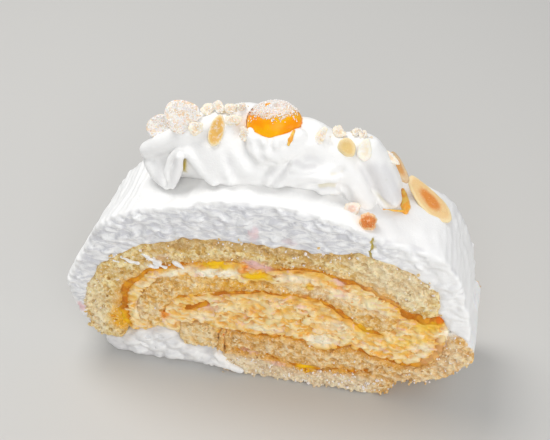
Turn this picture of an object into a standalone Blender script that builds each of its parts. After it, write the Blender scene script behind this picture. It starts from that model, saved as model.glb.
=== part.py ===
"""Cut slice of a rolled sponge with mango mousse, jam, whipped cream, almonds and a golden berry.

Metres, +Z up. The cut face looks towards -Y, the roll runs along Y and the slice rests on z = 0.
"""
import math

import bmesh
import bpy
import numpy as np
from mathutils import Matrix, Vector, noise

MM = 0.001
HALF_DEPTH = 15.0
GAP = 0.3
LINE_STEP = 3.4
FACE_GRID = 5.0
DEPTH_CUTS = (-8.0, 0.0, 8.0)
CUT_OVERSHOOT = 2.0
FACE_SPAN_X = (-58.8, 60.0)
FACE_SPAN_Z = (2.3, 66.0)
BACK_FACE_SHIFT = 140.0
FACE_EDGE = 0.01
FLAT_ANGLE = 0.5
WELD = 2e-5

RIDGE_PITCH = 2.4
RIDGE_HEIGHT = 0.55
RIDGES_LEFT = -38.0
RIDGES_RIGHT = 46.0
RIDGE_FADE = 5.0
SPONGE_RELIEF = 0.6
SPONGE_GRAIN = 5.0
MOUSSE_RELIEF = 0.9
MOUSSE_GRAIN = 6.0
CREAM_RELIEF = 0.6
CREAM_GRAIN = 7.0
COAT_SAG = 0.5
SKIN_REACH = 0.75
SAG_CENTRE = 20.0
SAG_WAVES = (9.0, 7.0, 9.0)
BLUNT_END = 0.7

# The slice narrows towards its back: sideways shift of the back face in mm.
TAPER_LEFT = 2.4
TAPER_LOW = 0.9
TAPER_HIGH = 2.6
TAPER_HEIGHTS = {"left": (20, 42), "right": (36, 53)}
TAPER_SPAN = (14, 51)

PIPING_VOXEL = 0.9
PIPING_TRIANGLES = 2500
FOLD_STEP = 1.5
HOLLOW_VOXEL = 0.6
BERRY_AXES = (7.6, 6.8, 6.1)
BERRY_PLACE = (-1.3, 4.3, 78.8)
BERRY_LEAN = -6.0
BERRY_SEGMENTS = 22
BERRY_RINGS = 12
FLAKE_THICK = 1.2
FLAKE_RIM = 0.3
FLAKE_NARROWING = 0.22
NUT_KNOBS = 0.16
SEED = 11

# Outer line of the cream coat in the cut plane, from its left lip over the top to its right foot (x, z).
COAT_LINE = [(-53.6, 10.4), (-55.6, 14), (-56.8, 18), (-58.3, 22), (-59.0, 26.4), (-57.5, 31), (-55.4, 35.5),
             (-52.8, 41.5), (-49.9, 47), (-44.5, 53.3), (-36, 57.8), (-27, 60.3), (-17, 63.6), (-7, 65.4),
             (5, 65.6), (14, 64.6), (22, 62.6), (31, 59.8), (38, 58.6), (44.5, 57.0), (48.6, 55.2),
             (51.6, 52.0), (53.7, 48.2), (55.0, 44), (56.0, 39), (57.2, 32), (58.2, 26)]
COAT_TOE = [(55.4, 27.6), (52.6, 30.0), (50.0, 33.4)]
# Points inside the roll that close the coat line below the piped cream.
SEAT_CLOSE = [(50, 20), (-50, 16)]

# Bands of the roll in the cut plane: rows of x, z and thickness.
OUTER_SPONGE = [(-46.6, 10.2, 10), (-48.2, 14, 11), (-49.3, 20, 9.8), (-47.2, 27, 8.6), (-43.5, 34, 8.8),
                (-37, 39.3, 8), (-29.7, 42.8, 7.5), (-20.2, 45.4, 7.7), (-9, 47.6, 7.4), (2, 47.4, 7),
                (12, 48.2, 6.2), (20, 47.8, 7.6), (26.5, 48, 10), (33, 46, 11), (38.5, 43.3, 11.5),
                (43.2, 39.6, 11), (46.4, 36.6, 7)]
OUTER_JAM = [(-41.2, 12.6, 1.4), (-42.3, 15.9, 2.4), (-43.3, 20, 2.4), (-42, 27, 2), (-39, 31, 1.7),
             (-33.8, 35.4, 1.5), (-27, 38.4, 1.4), (-18.5, 40.9, 1.4), (-9.8, 43.2, 1.4), (2.2, 42.9, 1.5),
             (12, 44.4, 1.4), (20, 43.3, 1.6), (27, 41.7, 1.7), (32, 39.6, 1.7), (38.2, 34.9, 1.8),
             (41.5, 32.4, 2), (45, 31.2, 2.2), (49, 32.4, 2.2)]
INNER_SPONGE = [(-34.2, 16.4, 7), (-34.2, 21, 8), (-31.6, 27, 7.6), (-26, 31.2, 6.8), (-18, 33.6, 4.8),
                (-8, 35.3, 3.4), (2, 36.1, 2.8), (12, 36.6, 2.8), (19, 35, 3.2), (25, 31.6, 4.4),
                (31, 29, 6), (36, 28.4, 4.4)]
INNER_JAM = [(-27, 26.3, 1), (-18, 30.1, 1.2), (-8, 32.7, 1.3), (2, 33.8, 1.4), (12, 34.3, 1.5),
             (17.5, 32.7, 1.7), (22.6, 28.6, 1.8), (28, 25.2, 1.5), (34, 24.5, 1.3)]
JAM_FLECK = [(-24, 22.8, 0.9), (-20.4, 24.6, 1.9), (-16.8, 26.6, 0.9)]
JAM_STREAK = [(-6.2, 39.5, 1.1), (-2.5, 39.7, 2.0), (1.8, 39.9, 1.0)]
BASE_JAM = [(-11, 17.1, 0.8), (0, 17, 0.9), (10, 17.6, 0.9), (14, 16.4, 0.9), (18, 15.8, 1), (24, 17.6, 1),
            (28, 16.7, 1.1), (34, 14.8, 1.3), (41, 14, 1.6), (45, 16, 2), (48.3, 19.4, 2.2),
            (49.8, 24, 2), (50.4, 27, 1.4)]
BOTTOM_JAM = [(-10.5, 9.6, 0.9), (-4, 9.4, 1), (0.3, 8.7, 1), (5, 7.5, 1.3), (11.5, 6.9, 2), (17, 7.2, 1.2),
              (24, 8.2, 1.3), (30.3, 8, 1.5)]

# Closed outlines in the cut plane (x, z).
BASE_SPONGE = [(-12, 0), (-12.2, 6), (-11.4, 10.5), (-11.6, 16.2), (-6, 16.2), (0, 16.1), (10, 16.6),
               (14, 15.4), (18, 14.8), (24, 16.6), (28, 15.6), (34, 13.6), (41, 12.6), (46, 14.6),
               (49.6, 18.4), (51.2, 23.4), (52.4, 27.4), (54.5, 27.6), (57, 25), (59, 23.4), (59.6, 19.5),
               (56.2, 15.6), (51, 11), (47, 8.6), (42, 7.2), (39, 6.6), (37.2, 4), (35.5, 1), (33, 0),
               (29, 0), (-9, 0)]
END_SPONGE = [(-24.6, 16.8), (-22, 16.8), (-18, 18), (-15.8, 18), (-14.6, 14), (-14.6, 9.4), (-20, 9),
              (-24.8, 9.8)]
FOOT_CREAM = [(-49.3, 4), (-48.6, 6), (-44.6, 7), (-40.5, 9.6), (-36, 11.9), (-32.8, 12.9), (-30, 13.6),
              (-26.8, 12.2), (-25.4, 9), (-20, 8.2), (-14.6, 8.6), (-12.9, 7), (-12.7, 1.2), (-14, 0),
              (-17, 0), (-40, 0), (-43.6, 0), (-47.3, 1.2)]
ROLL_CORE = [(-41.3, 12), (-43.3, 20), (-41.8, 27), (-36.3, 33.4), (-28, 38), (-18.5, 40.9), (-9.8, 43.2),
             (2.2, 42.9), (12, 44.4), (20.7, 43), (30.2, 40.4), (38.2, 34.9), (44, 31.4), (50, 32.0),
             (51.6, 29), (50.8, 23.6), (49, 19), (45.6, 15.6), (41, 13.4), (34, 14.4), (28, 16.4),
             (24, 17.4), (18, 15.6), (14, 16.2), (10, 17.4), (0, 17), (-11.6, 17.2), (-14, 14.6),
             (-15.2, 18.4), (-24.8, 17.2), (-26.4, 12.9), (-30, 14.6), (-36, 12.8), (-40.5, 10.5)]

# Folds of the piped cream: rows of x, y, z and radius along each fold.
CREAM_FOLDS = {
    "heart": [(-33, 3, 63, 5.5), (-26, 3.5, 66, 7), (-16, 3, 68, 8.4), (-4, 3, 68.6, 8.6), (8, 3, 68.2, 8.4),
              (18, 4, 67, 8.0), (25, 5, 64.4, 6.8), (28.6, 5.6, 61.4, 5.0)],
    "crest": [(-31, 4, 70, 4), (-24, 3.4, 74.0, 4.2), (-16, 4.9, 76.4, 4.2), (-9, 6.8, 78.2, 4.0),
              (0, 7.5, 75, 4.2), (8.2, 5, 76.6, 3.9), (15.4, 5, 73.0, 4.0), (22.0, 5, 73.8, 4.3),
              (27.0, 5.2, 68.8, 4.0), (30.2, 5.4, 63.6, 3.4)],
    "back": [(-27, 8.4, 64.5, 5), (-14, 9.2, 68, 5.8), (0, 9.6, 69, 5.8), (14, 9.6, 67.4, 5.6),
             (26, 9.0, 63.2, 4.6)],
    "left_ridge": [(-36.1, 0.9, 67.1, 2.6), (-32.9, 0.2, 69.5, 3.0), (-29.0, 0.0, 72.2, 3.0),
                   (-24.7, 0.2, 74.7, 3.0), (-20.0, 1.2, 76.8, 3.0), (-14.5, 2.8, 78.2, 2.8)],
    "left_fan_a": [(-35.0, -1.0, 63.6, 2.0), (-32.5, -3.0, 61.6, 2.0), (-29.6, -5.6, 60.7, 1.2)],
    "left_fan_b": [(-32.0, -1.1, 63.6, 2.6), (-30.3, -3.5, 62.3, 2.0), (-29.3, -5.6, 60.8, 1.2)],
    "lip": [(-28.8, -6.5, 61.2, 0.9), (-29.1, -5.4, 65.1, 1.0), (-28.2, -4.1, 68.8, 1.1),
            (-25.8, -3.2, 71.2, 1.3), (-22.9, -3.7, 70.7, 1.4), (-20.4, -5.0, 68.3, 1.3),
            (-17.9, -6.4, 66.4, 1.1), (-15.5, -7.4, 65.2, 0.9)],
    "petal_a": [(-23.5, -0.2, 71.4, 2.8), (-19.6, -2.2, 68.4, 3.4), (-15.2, -4.8, 66.6, 3.0)],
    "petal_b": [(-19.4, 0.8, 72.6, 3.6), (-15.6, -1.4, 69.6, 4.6), (-11.6, -4.1, 67.0, 3.8)],
    "petal_c": [(-13.0, 2.4, 76.2, 3.8), (-12.6, 0.6, 73.6, 4.4), (-10.2, -1.2, 70.8, 4.9),
                (-7.2, -3.8, 67.9, 3.9)],
    "collar": [(-7.2, -0.6, 77.9, 1.7), (-5.4, -2.8, 78.1, 1.8), (-3.0, -3.6, 77.6, 2.0),
               (-0.8, -3.8, 77.5, 2.0), (1.6, -3.6, 78.4, 2.0), (4.2, -2.2, 78.9, 2.0),
               (6.3, -0.3, 79.2, 2.0)],
    "curl": [(-7.2, -1.2, 75.4, 2.4), (-4.4, -3.8, 75.3, 2.6), (-0.9, -4.8, 75.0, 2.7),
             (2.4, -4.2, 75.6, 2.5), (5.2, -2.4, 76.4, 2.3)],
    "front_mid": [(-3.0, -1.8, 71.2, 3.8), (-4.0, -4.2, 68.4, 3.6)],
    "front_fold": [(7.6, -1.8, 72.2, 3.4), (4.0, -3.8, 70.0, 3.6), (0.4, -5.6, 68.0, 3.0)],
    "upper_right": [(5.6, 1.8, 75.4, 4.0), (9.6, 1.8, 74.6, 4.6), (14.4, 1.2, 71.8, 4.4)],
    "low_right": [(6.8, -4.0, 69.0, 3.4), (11.0, -3.9, 69.4, 3.8), (15.6, -3.0, 69.4, 3.4)],
    "step": [(13.8, -5.4, 66.9, 1.9), (16.6, -4.9, 66.7, 2.2)],
    "tongue": [(17.2, 2.3, 72.8, 4.6), (20.0, 0.7, 69.4, 4.8), (22.4, -0.6, 65.2, 4.6),
               (24.0, -1.6, 61.8, 4.0)],
    "last_fold": [(23.8, 4.0, 73.8, 4.4), (26.8, 3.2, 68.8, 4.6), (29.5, 2.4, 63.8, 4.2),
                  (30.9, 1.8, 60.4, 3.5)],
}
FOLD_HOLLOW = [(-25.0, -6.2, 69.0, 1.5), (-24.8, -7.2, 66.0, 2.4), (-24.8, -8.2, 62.5, 2.8)]

# Loose almond flakes: centre, length, width, and the turns about Z, then X, then Z again (degrees).
FLAKES = {
    "almond_round": ((-25.8, 0.4, 80.4), 9.6, 9.0, (8, 58, 20)),
    "almond_side": ((-33.2, 2.4, 74.6), 7.2, 6.2, (-8, 55, 60)),
    "almond_upright": ((-15.9, -1.3, 78.5), 8.8, 4.0, (14, 60, 74)),
    "almond_oval": ((19.2, 0.1, 77.0), 5.4, 4.4, (8, 50, -50)),
    "almond_pale": ((23.9, 0.3, 77.0), 6.2, 3.8, (16, 56, 80)),
    "almond_long": ((41.5, 6.2, 58.2), 16.8, 7.2, (58, 24, -92)),
    "almond_tucked": ((32.2, 7.4, 67.0), 10.6, 5.2, (69, 59, -79)),
    "almond_front": ((22.5, -7.8, 63.2), 4.6, 4.0, (12, 34, 20)),
}
# Small flakes and chopped bits that are fused to the piped cream: centre, length, width, turns.
FUSED_FLAKES = [
    ((-19.6, 4.2, 80.9), 4.4, 3.2, (20, 40, 30)), ((-16.4, 4.4, 81.7), 4.2, 3.0, (-20, 45, -30)),
    ((-13.4, 4.2, 82.0), 3.8, 2.8, (30, 50, 10)), ((-10.6, 5.0, 82.6), 2.6, 2.2, (50, 40, 0)),
    ((-11.8, 1.2, 80.6), 4.4, 3.0, (10, 52, 8)), ((-8.2, -2.1, 79.1), 4.0, 2.6, (0, 60, 110)),
    ((12.0, 1.0, 79.4), 5.0, 2.6, (12, 55, 60)), ((16.3, 4.7, 78.5), 4.0, 2.8, (0, 45, -28)),
    ((20.7, 5.2, 78.8), 2.8, 2.2, (30, 35, 20)), ((22.8, 4.6, 78.8), 2.6, 2.2, (-30, 50, 40)),
    ((-21.5, -1.7, 78.5), 4.4, 3.4, (0, 55, 30)), ((30.2, 5.4, 71.6), 6.0, 2.4, (20, 50, -42)),
]
NUT_PLACE = (27.2, -10.8, 62.0)
NUT_RADIUS = 2.5
CRACK = ((28.9, -15.0, 55.6), (0.9, 5.0, 9.2))


def clear_objects():
    """Remove whatever the scene holds."""
    for item in list(bpy.data.objects):
        bpy.data.objects.remove(item, do_unlink=True)


def new_collection(name):
    group = bpy.data.collections.new(name)
    bpy.context.scene.collection.children.link(group)
    return group


def make_material(name, colour, roughness):
    material = bpy.data.materials.new(name)
    material.use_nodes = True
    shader = material.node_tree.nodes["Principled BSDF"]
    shader.inputs["Base Color"].default_value = (*colour, 1.0)
    shader.inputs["Roughness"].default_value = roughness
    material.diffuse_color = (*colour, 1.0)
    return material


def smooth_line(points, closed=False, step=LINE_STEP):
    """Points along a smooth line through the given rows, evenly close to the step."""
    rows = np.asarray(points, float)
    count = len(rows)
    line = []
    for i in range(count if closed else count - 1):
        b, c = rows[i], rows[(i + 1) % count]
        a = rows[i - 1] if closed or i > 0 else 2 * b - c
        d = rows[(i + 2) % count] if closed or i + 2 < count else 2 * c - b
        parts = max(1, int(round(np.linalg.norm((c - b)[:2]) / step)))
        for k in range(parts):
            t = k / parts
            line.append(0.5 * (2 * b + (c - a) * t + (2 * a - 5 * b + 4 * c - d) * t ** 2
                               + (3 * b - a - 3 * c + d) * t ** 3))
    if not closed:
        line.append(rows[-1])
    return np.array(line)


def line_normals(line):
    slope = np.gradient(line[:, :2], axis=0)
    slope /= np.linalg.norm(slope, axis=1)[:, None]
    return slope, np.stack([-slope[:, 1], slope[:, 0]], axis=1)


def band_outline(rows, grow=0.0):
    """Closed outline of a band of varying thickness with blunt round ends."""
    line = smooth_line(rows)
    slope, normal = line_normals(line)
    half = line[:, 2:3] / 2 + grow
    upper = line[:, :2] + normal * half
    lower = line[:, :2] - normal * half
    start = line[0, :2] - slope[0] * half[0] * BLUNT_END
    end = line[-1, :2] + slope[-1] * half[-1] * BLUNT_END
    return np.vstack([start, upper, end, lower[::-1]])


def grown_outline(outline, grow):
    """Closed outline moved outwards by a set distance."""
    after = np.roll(outline, -1, axis=0)
    area = np.sum(outline[:, 0] * after[:, 1] - after[:, 0] * outline[:, 1])
    slope = after - np.roll(outline, 1, axis=0)
    slope /= np.linalg.norm(slope, axis=1)[:, None]
    normal = np.stack([slope[:, 1], -slope[:, 0]], axis=1) * np.sign(area)
    return outline + normal * grow


def ridged_coat_line():
    """Coat line with comb ridges down both flanks and a plain top."""
    line = smooth_line(COAT_LINE, step=RIDGE_PITCH / 3)
    normal = line_normals(line)[1]
    run = np.concatenate([[0], np.cumsum(np.linalg.norm(np.diff(line, axis=0), axis=1))])
    left = np.clip((RIDGES_LEFT - line[:, 0]) / RIDGE_FADE, 0, 1)
    right = np.clip((line[:, 0] - RIDGES_RIGHT) / RIDGE_FADE, 0, 1)
    ends = np.clip(np.minimum(run, run[-1] - run) / RIDGE_PITCH, 0, 1)
    wave = 0.5 - 0.5 * np.cos(2 * math.pi * run / RIDGE_PITCH)
    rise = RIDGE_HEIGHT * wave * (left + right) * ends
    keep = (left + right > 0) | (np.arange(len(line)) % 4 == 0)
    keep[-1] = True
    return (line + normal * rise[:, None])[keep]


def coat_outline():
    """Coat line closed through the middle of the outer sponge."""
    inner = smooth_line(OUTER_SPONGE)[::-1, :2]
    return np.vstack([ridged_coat_line(), COAT_TOE, inner])


def smooth_step(value, low, high):
    """Soft ramp from 0 at one end of a range to 1 at the other."""
    part = min(max((value - low) / (high - low), 0.0), 1.0)
    return part * part * (3 - 2 * part)


def taper(body):
    """Draw both sides of a body in towards the back of the slice."""
    for vert in body.data.vertices:
        x, y, z = (c / MM for c in vert.co)
        back = (y + HALF_DEPTH) / (2 * HALF_DEPTH)
        right = TAPER_LOW + (TAPER_HIGH - TAPER_LOW) * smooth_step(z, *TAPER_HEIGHTS["right"])
        right *= smooth_step(x, *TAPER_SPAN)
        left = TAPER_LEFT * smooth_step(z, *TAPER_HEIGHTS["left"]) * smooth_step(-x, *TAPER_SPAN)
        vert.co.x += (left - right) * back * MM


def prism(name, outline, half, home):
    """Flat outline in the cut plane filled and drawn out along the depth."""
    curve = bpy.data.curves.new(name, "CURVE")
    curve.dimensions = "2D"
    curve.fill_mode = "BOTH"
    curve.extrude = half * MM
    spline = curve.splines.new("POLY")
    spline.points.add(len(outline) - 1)
    for point, (x, z) in zip(spline.points, outline):
        point.co = (x * MM, z * MM, 0.0, 1.0)
    spline.use_cyclic_u = True
    holder = bpy.data.objects.new(name, curve)
    home.objects.link(holder)
    body = as_mesh(holder, home)
    body.data.transform(Matrix.Rotation(math.radians(90), 4, "X"))
    return body


def as_mesh(holder, home):
    """Turn a curve object into a welded mesh object of the same name."""
    name = holder.name
    mesh = bpy.data.meshes.new_from_object(holder.evaluated_get(bpy.context.evaluated_depsgraph_get()))
    place = holder.matrix_world.copy()
    bpy.data.objects.remove(holder, do_unlink=True)
    shape = bmesh.new()
    shape.from_mesh(mesh)
    bmesh.ops.remove_doubles(shape, verts=shape.verts, dist=1e-6)
    bmesh.ops.recalc_face_normals(shape, faces=shape.faces)
    shape.to_mesh(mesh)
    shape.free()
    body = bpy.data.objects.new(name, mesh)
    body.matrix_world = place
    home.objects.link(body)
    return body


def apply_modifiers(body):
    """Replace the mesh by its evaluated form and drop the modifiers."""
    bpy.context.view_layer.update()
    mesh = bpy.data.meshes.new_from_object(body.evaluated_get(bpy.context.evaluated_depsgraph_get()))
    body.modifiers.clear()
    body.data = mesh


def combine(body, other, operation, solver="EXACT"):
    step = body.modifiers.new(operation.lower(), "BOOLEAN")
    step.operation = operation
    step.solver = solver
    step.object = other
    apply_modifiers(body)


def drop(*bodies):
    for body in bodies:
        bpy.data.objects.remove(body, do_unlink=True)


def cutter_prism(name, outline, cutters):
    body = prism(name, outline, HALF_DEPTH + CUT_OVERSHOOT, cutters)
    body.display_type = "WIRE"
    body.hide_render = True
    return body


def cut_band(body, rows, cutters, grow=GAP):
    cutter = cutter_prism("band_cut", band_outline(rows, grow), cutters)
    combine(body, cutter, "DIFFERENCE")
    drop(cutter)


def cut_outline(body, points, cutters, grow=GAP):
    cutter = cutter_prism("outline_cut", grown_outline(smooth_line(points, True), grow), cutters)
    combine(body, cutter, "DIFFERENCE")
    drop(cutter)


def cut_face_parts(shape):
    """Faces, edges and corners that lie in the two cut faces."""
    edge = (HALF_DEPTH - FACE_EDGE) * MM
    faces = [f for f in shape.faces if abs(f.normal.y) > 0.99 and abs(f.calc_center_median().y) > edge]
    edges = {e for f in faces for e in f.edges}
    verts = {v for f in faces for v in f.verts}
    return faces + list(edges) + list(verts)


def split_cut_faces(shape, axis, low, high):
    """Score both cut faces along evenly spaced planes across one axis."""
    normal = Vector((0, 0, 0))
    normal[axis] = 1.0
    for place in np.arange(low, high, FACE_GRID):
        bmesh.ops.bisect_plane(shape, geom=cut_face_parts(shape), plane_co=normal * (place * MM),
                               plane_no=normal, dist=WELD)


def split_depth(shape):
    """Score a body at a few places along the depth."""
    for place in DEPTH_CUTS:
        parts = list(shape.verts) + list(shape.edges) + list(shape.faces)
        bmesh.ops.bisect_plane(shape, geom=parts, plane_co=(0, place * MM, 0), plane_no=(0, 1, 0), dist=WELD)


def face_depth(x, z, height, grain):
    """Relief of a cut face at one place, in mm."""
    broad = noise.noise(Vector((x / (grain * 2.6), 3.7, z / (grain * 1.6))))
    fine = noise.noise(Vector((x / grain, 9.1, z / (grain * 0.7))))
    return height * (0.6 * broad + 0.8 * fine)


def sag_skin(shape):
    """Let the outer skin of the coat dip softly along the depth."""
    line = smooth_line(COAT_LINE, step=1.0)
    for vert in shape.verts:
        x, y, z = (c / MM for c in vert.co)
        away = np.min(np.hypot(line[:, 0] - x, line[:, 1] - z))
        if abs(y) > HALF_DEPTH - 0.5 or away > SKIN_REACH:
            continue
        place = Vector((x / SAG_WAVES[0], y / SAG_WAVES[1], z / SAG_WAVES[2]))
        dip = COAT_SAG * (0.5 + 0.5 * noise.noise(place))
        inward = Vector((-x, 0, SAG_CENTRE - z)).normalized()
        vert.co += inward * (dip * MM)


def carve_faces(body, height, grain, skin=False):
    """Give both cut faces of a body the same kind of shallow relief."""
    shape = bmesh.new()
    shape.from_mesh(body.data)
    limit = math.radians(FLAT_ANGLE)
    bmesh.ops.dissolve_limit(shape, angle_limit=limit, verts=shape.verts, edges=shape.edges)
    split_cut_faces(shape, 0, *FACE_SPAN_X)
    split_cut_faces(shape, 2, *FACE_SPAN_Z)
    if skin:
        split_depth(shape)
        sag_skin(shape)
    bmesh.ops.triangulate(shape, faces=shape.faces)
    edge = (HALF_DEPTH - FACE_EDGE) * MM
    for vert in shape.verts:
        x, z = vert.co.x / MM, vert.co.z / MM
        if vert.co.y < -edge:
            vert.co.y += face_depth(x, z, height, grain) * MM
        elif vert.co.y > edge:
            vert.co.y += face_depth(x + BACK_FACE_SHIFT, z, height, grain) * MM
    shape.to_mesh(body.data)
    shape.free()
    taper(body)


def finish(body, home, material, smooth=False):
    """Put a body in its collection with its material and shading."""
    for group in list(body.users_collection):
        group.objects.unlink(body)
    home.objects.link(body)
    body.data.materials.clear()
    body.data.materials.append(material)
    for polygon in body.data.polygons:
        polygon.use_smooth = smooth
        polygon.material_index = 0
    return body


def make_band(name, rows, home):
    return prism(name, band_outline(rows), HALF_DEPTH, home)


def make_slab(name, points, home):
    return prism(name, smooth_line(points, True), HALF_DEPTH, home)


def make_roll(home, cutters, looks):
    """Sponge layers, jam lines and mousse of the roll."""
    outer = make_band("sponge_outer", OUTER_SPONGE, home)
    cut_band(outer, OUTER_JAM, cutters)
    cut_outline(outer, FOOT_CREAM, cutters)
    inner = make_band("sponge_inner", INNER_SPONGE, home)
    cut_outline(inner, FOOT_CREAM, cutters)
    base = make_slab("sponge_base", BASE_SPONGE, home)
    cut_band(base, BOTTOM_JAM, cutters)
    end = make_slab("sponge_end", END_SPONGE, home)
    foot = make_slab("cream_foot", FOOT_CREAM, home)
    for slab in (base, foot):
        flatten_foot(slab)

    mousse = make_slab("mousse", ROLL_CORE, home)
    for rows in (OUTER_SPONGE, OUTER_JAM, INNER_SPONGE, INNER_JAM, JAM_FLECK, JAM_STREAK, BASE_JAM):
        cut_band(mousse, rows, cutters)
    for points in (BASE_SPONGE, END_SPONGE, FOOT_CREAM):
        cut_outline(mousse, points, cutters)
    keep_largest(mousse)

    jams = {
        "jam_outer": OUTER_JAM, "jam_inner": INNER_JAM, "jam_fleck": JAM_FLECK,
        "jam_streak": JAM_STREAK, "jam_base": BASE_JAM, "jam_bottom": BOTTOM_JAM,
    }
    for name, rows in jams.items():
        jam = make_band(name, rows, home)
        if name == "jam_inner":
            cut_band(jam, INNER_SPONGE, cutters)
        if name == "jam_base":
            cut_outline(jam, BASE_SPONGE, cutters)
        if name == "jam_outer":
            cut_outline(jam, FOOT_CREAM, cutters)
        keep_largest(jam)
        carve_faces(jam, MOUSSE_RELIEF, MOUSSE_GRAIN)
        finish(jam, home, looks["jam"].copy())
    for sponge in (outer, inner, base, end):
        keep_largest(sponge)
        carve_faces(sponge, SPONGE_RELIEF, SPONGE_GRAIN)
        finish(sponge, home, looks["sponge"].copy())
    carve_faces(mousse, MOUSSE_RELIEF, MOUSSE_GRAIN)
    finish(mousse, home, looks["mousse"].copy())
    carve_faces(foot, CREAM_RELIEF, CREAM_GRAIN)
    finish(foot, home, looks["cream"].copy())


def flatten_foot(body):
    """Lay the underside exactly on the floor."""
    for vert in body.data.vertices:
        if vert.co.z < 0.25 * MM:
            vert.co.z = 0.0


def keep_largest(body):
    """Drop loose scraps so that one closed body is left."""
    shape = bmesh.new()
    shape.from_mesh(body.data)
    left = set(shape.verts)
    groups = []
    while left:
        stack = [left.pop()]
        group = set(stack)
        while stack:
            vert = stack.pop()
            for edge in vert.link_edges:
                other = edge.other_vert(vert)
                if other not in group:
                    group.add(other)
                    stack.append(other)
        left -= group
        groups.append(group)
    groups.sort(key=len)
    for group in groups[:-1]:
        bmesh.ops.delete(shape, geom=list(group), context="VERTS")
    shape.to_mesh(body.data)
    shape.free()


def make_coat(home, cutters, looks):
    """Whipped cream coat over the roll, with comb ridges and the crack under the roasted nut."""
    coat = prism("cream_coat", coat_outline(), HALF_DEPTH, home)
    cut_band(coat, OUTER_SPONGE, cutters)
    for points in (BASE_SPONGE, ROLL_CORE):
        cut_outline(coat, points, cutters)
    cut_band(coat, OUTER_JAM, cutters)
    keep_largest(coat)
    cut_crack(coat, cutters)
    carve_faces(coat, CREAM_RELIEF, CREAM_GRAIN, True)
    return finish(coat, home, looks["cream"].copy())


def cut_crack(coat, cutters):
    centre, size = CRACK
    bpy.ops.mesh.primitive_cube_add(size=MM, location=Vector(centre) * MM)
    wedge = bpy.context.object
    wedge.name = "crack_cut"
    wedge.scale = size
    wedge.rotation_euler = (0, math.radians(4), math.radians(12))
    combine(coat, wedge, "DIFFERENCE")
    drop(wedge)


def fold_tube(name, rows, home):
    """One rounded fold of cream as a tapering tube with ball ends."""
    line = smooth_line(rows, step=FOLD_STEP)
    curve = bpy.data.curves.new(name, "CURVE")
    curve.dimensions = "3D"
    curve.bevel_depth = MM
    curve.bevel_resolution = 3
    curve.use_fill_caps = True
    spline = curve.splines.new("POLY")
    spline.points.add(len(line) - 1)
    for point, (x, y, z, radius) in zip(spline.points, line):
        point.co = (x * MM, y * MM, z * MM, 1.0)
        point.radius = radius
    holder = bpy.data.objects.new(name, curve)
    home.objects.link(holder)
    tube = as_mesh(holder, home)
    shape = bmesh.new()
    shape.from_mesh(tube.data)
    for x, y, z, radius in (line[0], line[-1]):
        place = Matrix.Translation(Vector((x, y, z)) * MM)
        bmesh.ops.create_icosphere(shape, subdivisions=2, radius=radius * MM, matrix=place)
    shape.to_mesh(tube.data)
    shape.free()
    return tube


def join_meshes(name, bodies, home):
    """Gather the faces of several bodies in one mesh and remove them."""
    shape = bmesh.new()
    for body in bodies:
        shape.from_mesh(body.data)
    mesh = bpy.data.meshes.new(name)
    shape.to_mesh(mesh)
    shape.free()
    drop(*bodies)
    joined = bpy.data.objects.new(name, mesh)
    home.objects.link(joined)
    return joined


def make_piping(home, cutters):
    """Ruffled rope of piped cream, remeshed as one skin and seated on the coat."""
    folds = [fold_tube(name, rows, cutters) for name, rows in CREAM_FOLDS.items()]
    piping = join_meshes("piped_cream", folds, home)
    remeshed(piping, PIPING_VOXEL)
    soften = piping.modifiers.new("soften", "SMOOTH")
    soften.factor = 0.5
    soften.iterations = 2
    apply_modifiers(piping)
    hollow = fold_tube("hollow_cut", FOLD_HOLLOW, cutters)
    hollow = remeshed(hollow, HOLLOW_VOXEL)
    combine(piping, hollow, "DIFFERENCE")
    drop(hollow)
    thin = piping.modifiers.new("thin", "DECIMATE")
    piping.data.calc_loop_triangles()
    thin.ratio = PIPING_TRIANGLES / len(piping.data.loop_triangles)
    apply_modifiers(piping)
    seat = grown_outline(smooth_line(COAT_LINE + SEAT_CLOSE, True), GAP)
    cutter = cutter_prism("seat_cut", seat, cutters)
    taper(cutter)
    combine(piping, cutter, "DIFFERENCE")
    drop(cutter)
    keep_largest(piping)
    return piping


def remeshed(body, voxel):
    skin = body.modifiers.new("skin", "REMESH")
    skin.mode = "VOXEL"
    skin.voxel_size = voxel * MM
    apply_modifiers(body)
    return body


def flake_body(name, placing, grow, home):
    """Thin almond slice: an egg-shaped plate with a rounded rim."""
    centre, length, width, turns = placing
    curve = bpy.data.curves.new(name, "CURVE")
    curve.dimensions = "2D"
    curve.fill_mode = "BOTH"
    curve.bevel_depth = FLAKE_RIM * MM
    curve.bevel_resolution = 0
    curve.extrude = (FLAKE_THICK / 2 - FLAKE_RIM + grow) * MM
    spline = curve.splines.new("POLY")
    count = 16 if length > 7 else 10
    spline.points.add(count - 1)
    for i, point in enumerate(spline.points):
        angle = 2 * math.pi * i / count
        x = (length / 2 - FLAKE_RIM + grow) * math.cos(angle)
        narrow = 1.0 - FLAKE_NARROWING * math.cos(angle)
        y = (width / 2 - FLAKE_RIM + grow) * math.sin(angle) * narrow
        point.co = (x * MM, y * MM, 0.0, 1.0)
    spline.use_cyclic_u = True
    holder = bpy.data.objects.new(name, curve)
    home.objects.link(holder)
    flake = as_mesh(holder, home)
    turn_z, tip, spin = (math.radians(value) for value in turns)
    turn = Matrix.Rotation(turn_z, 4, "Z") @ Matrix.Rotation(tip, 4, "X") @ Matrix.Rotation(spin, 4, "Z")
    flake.data.transform(Matrix.Translation(Vector(centre) * MM) @ turn)
    return flake


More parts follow.
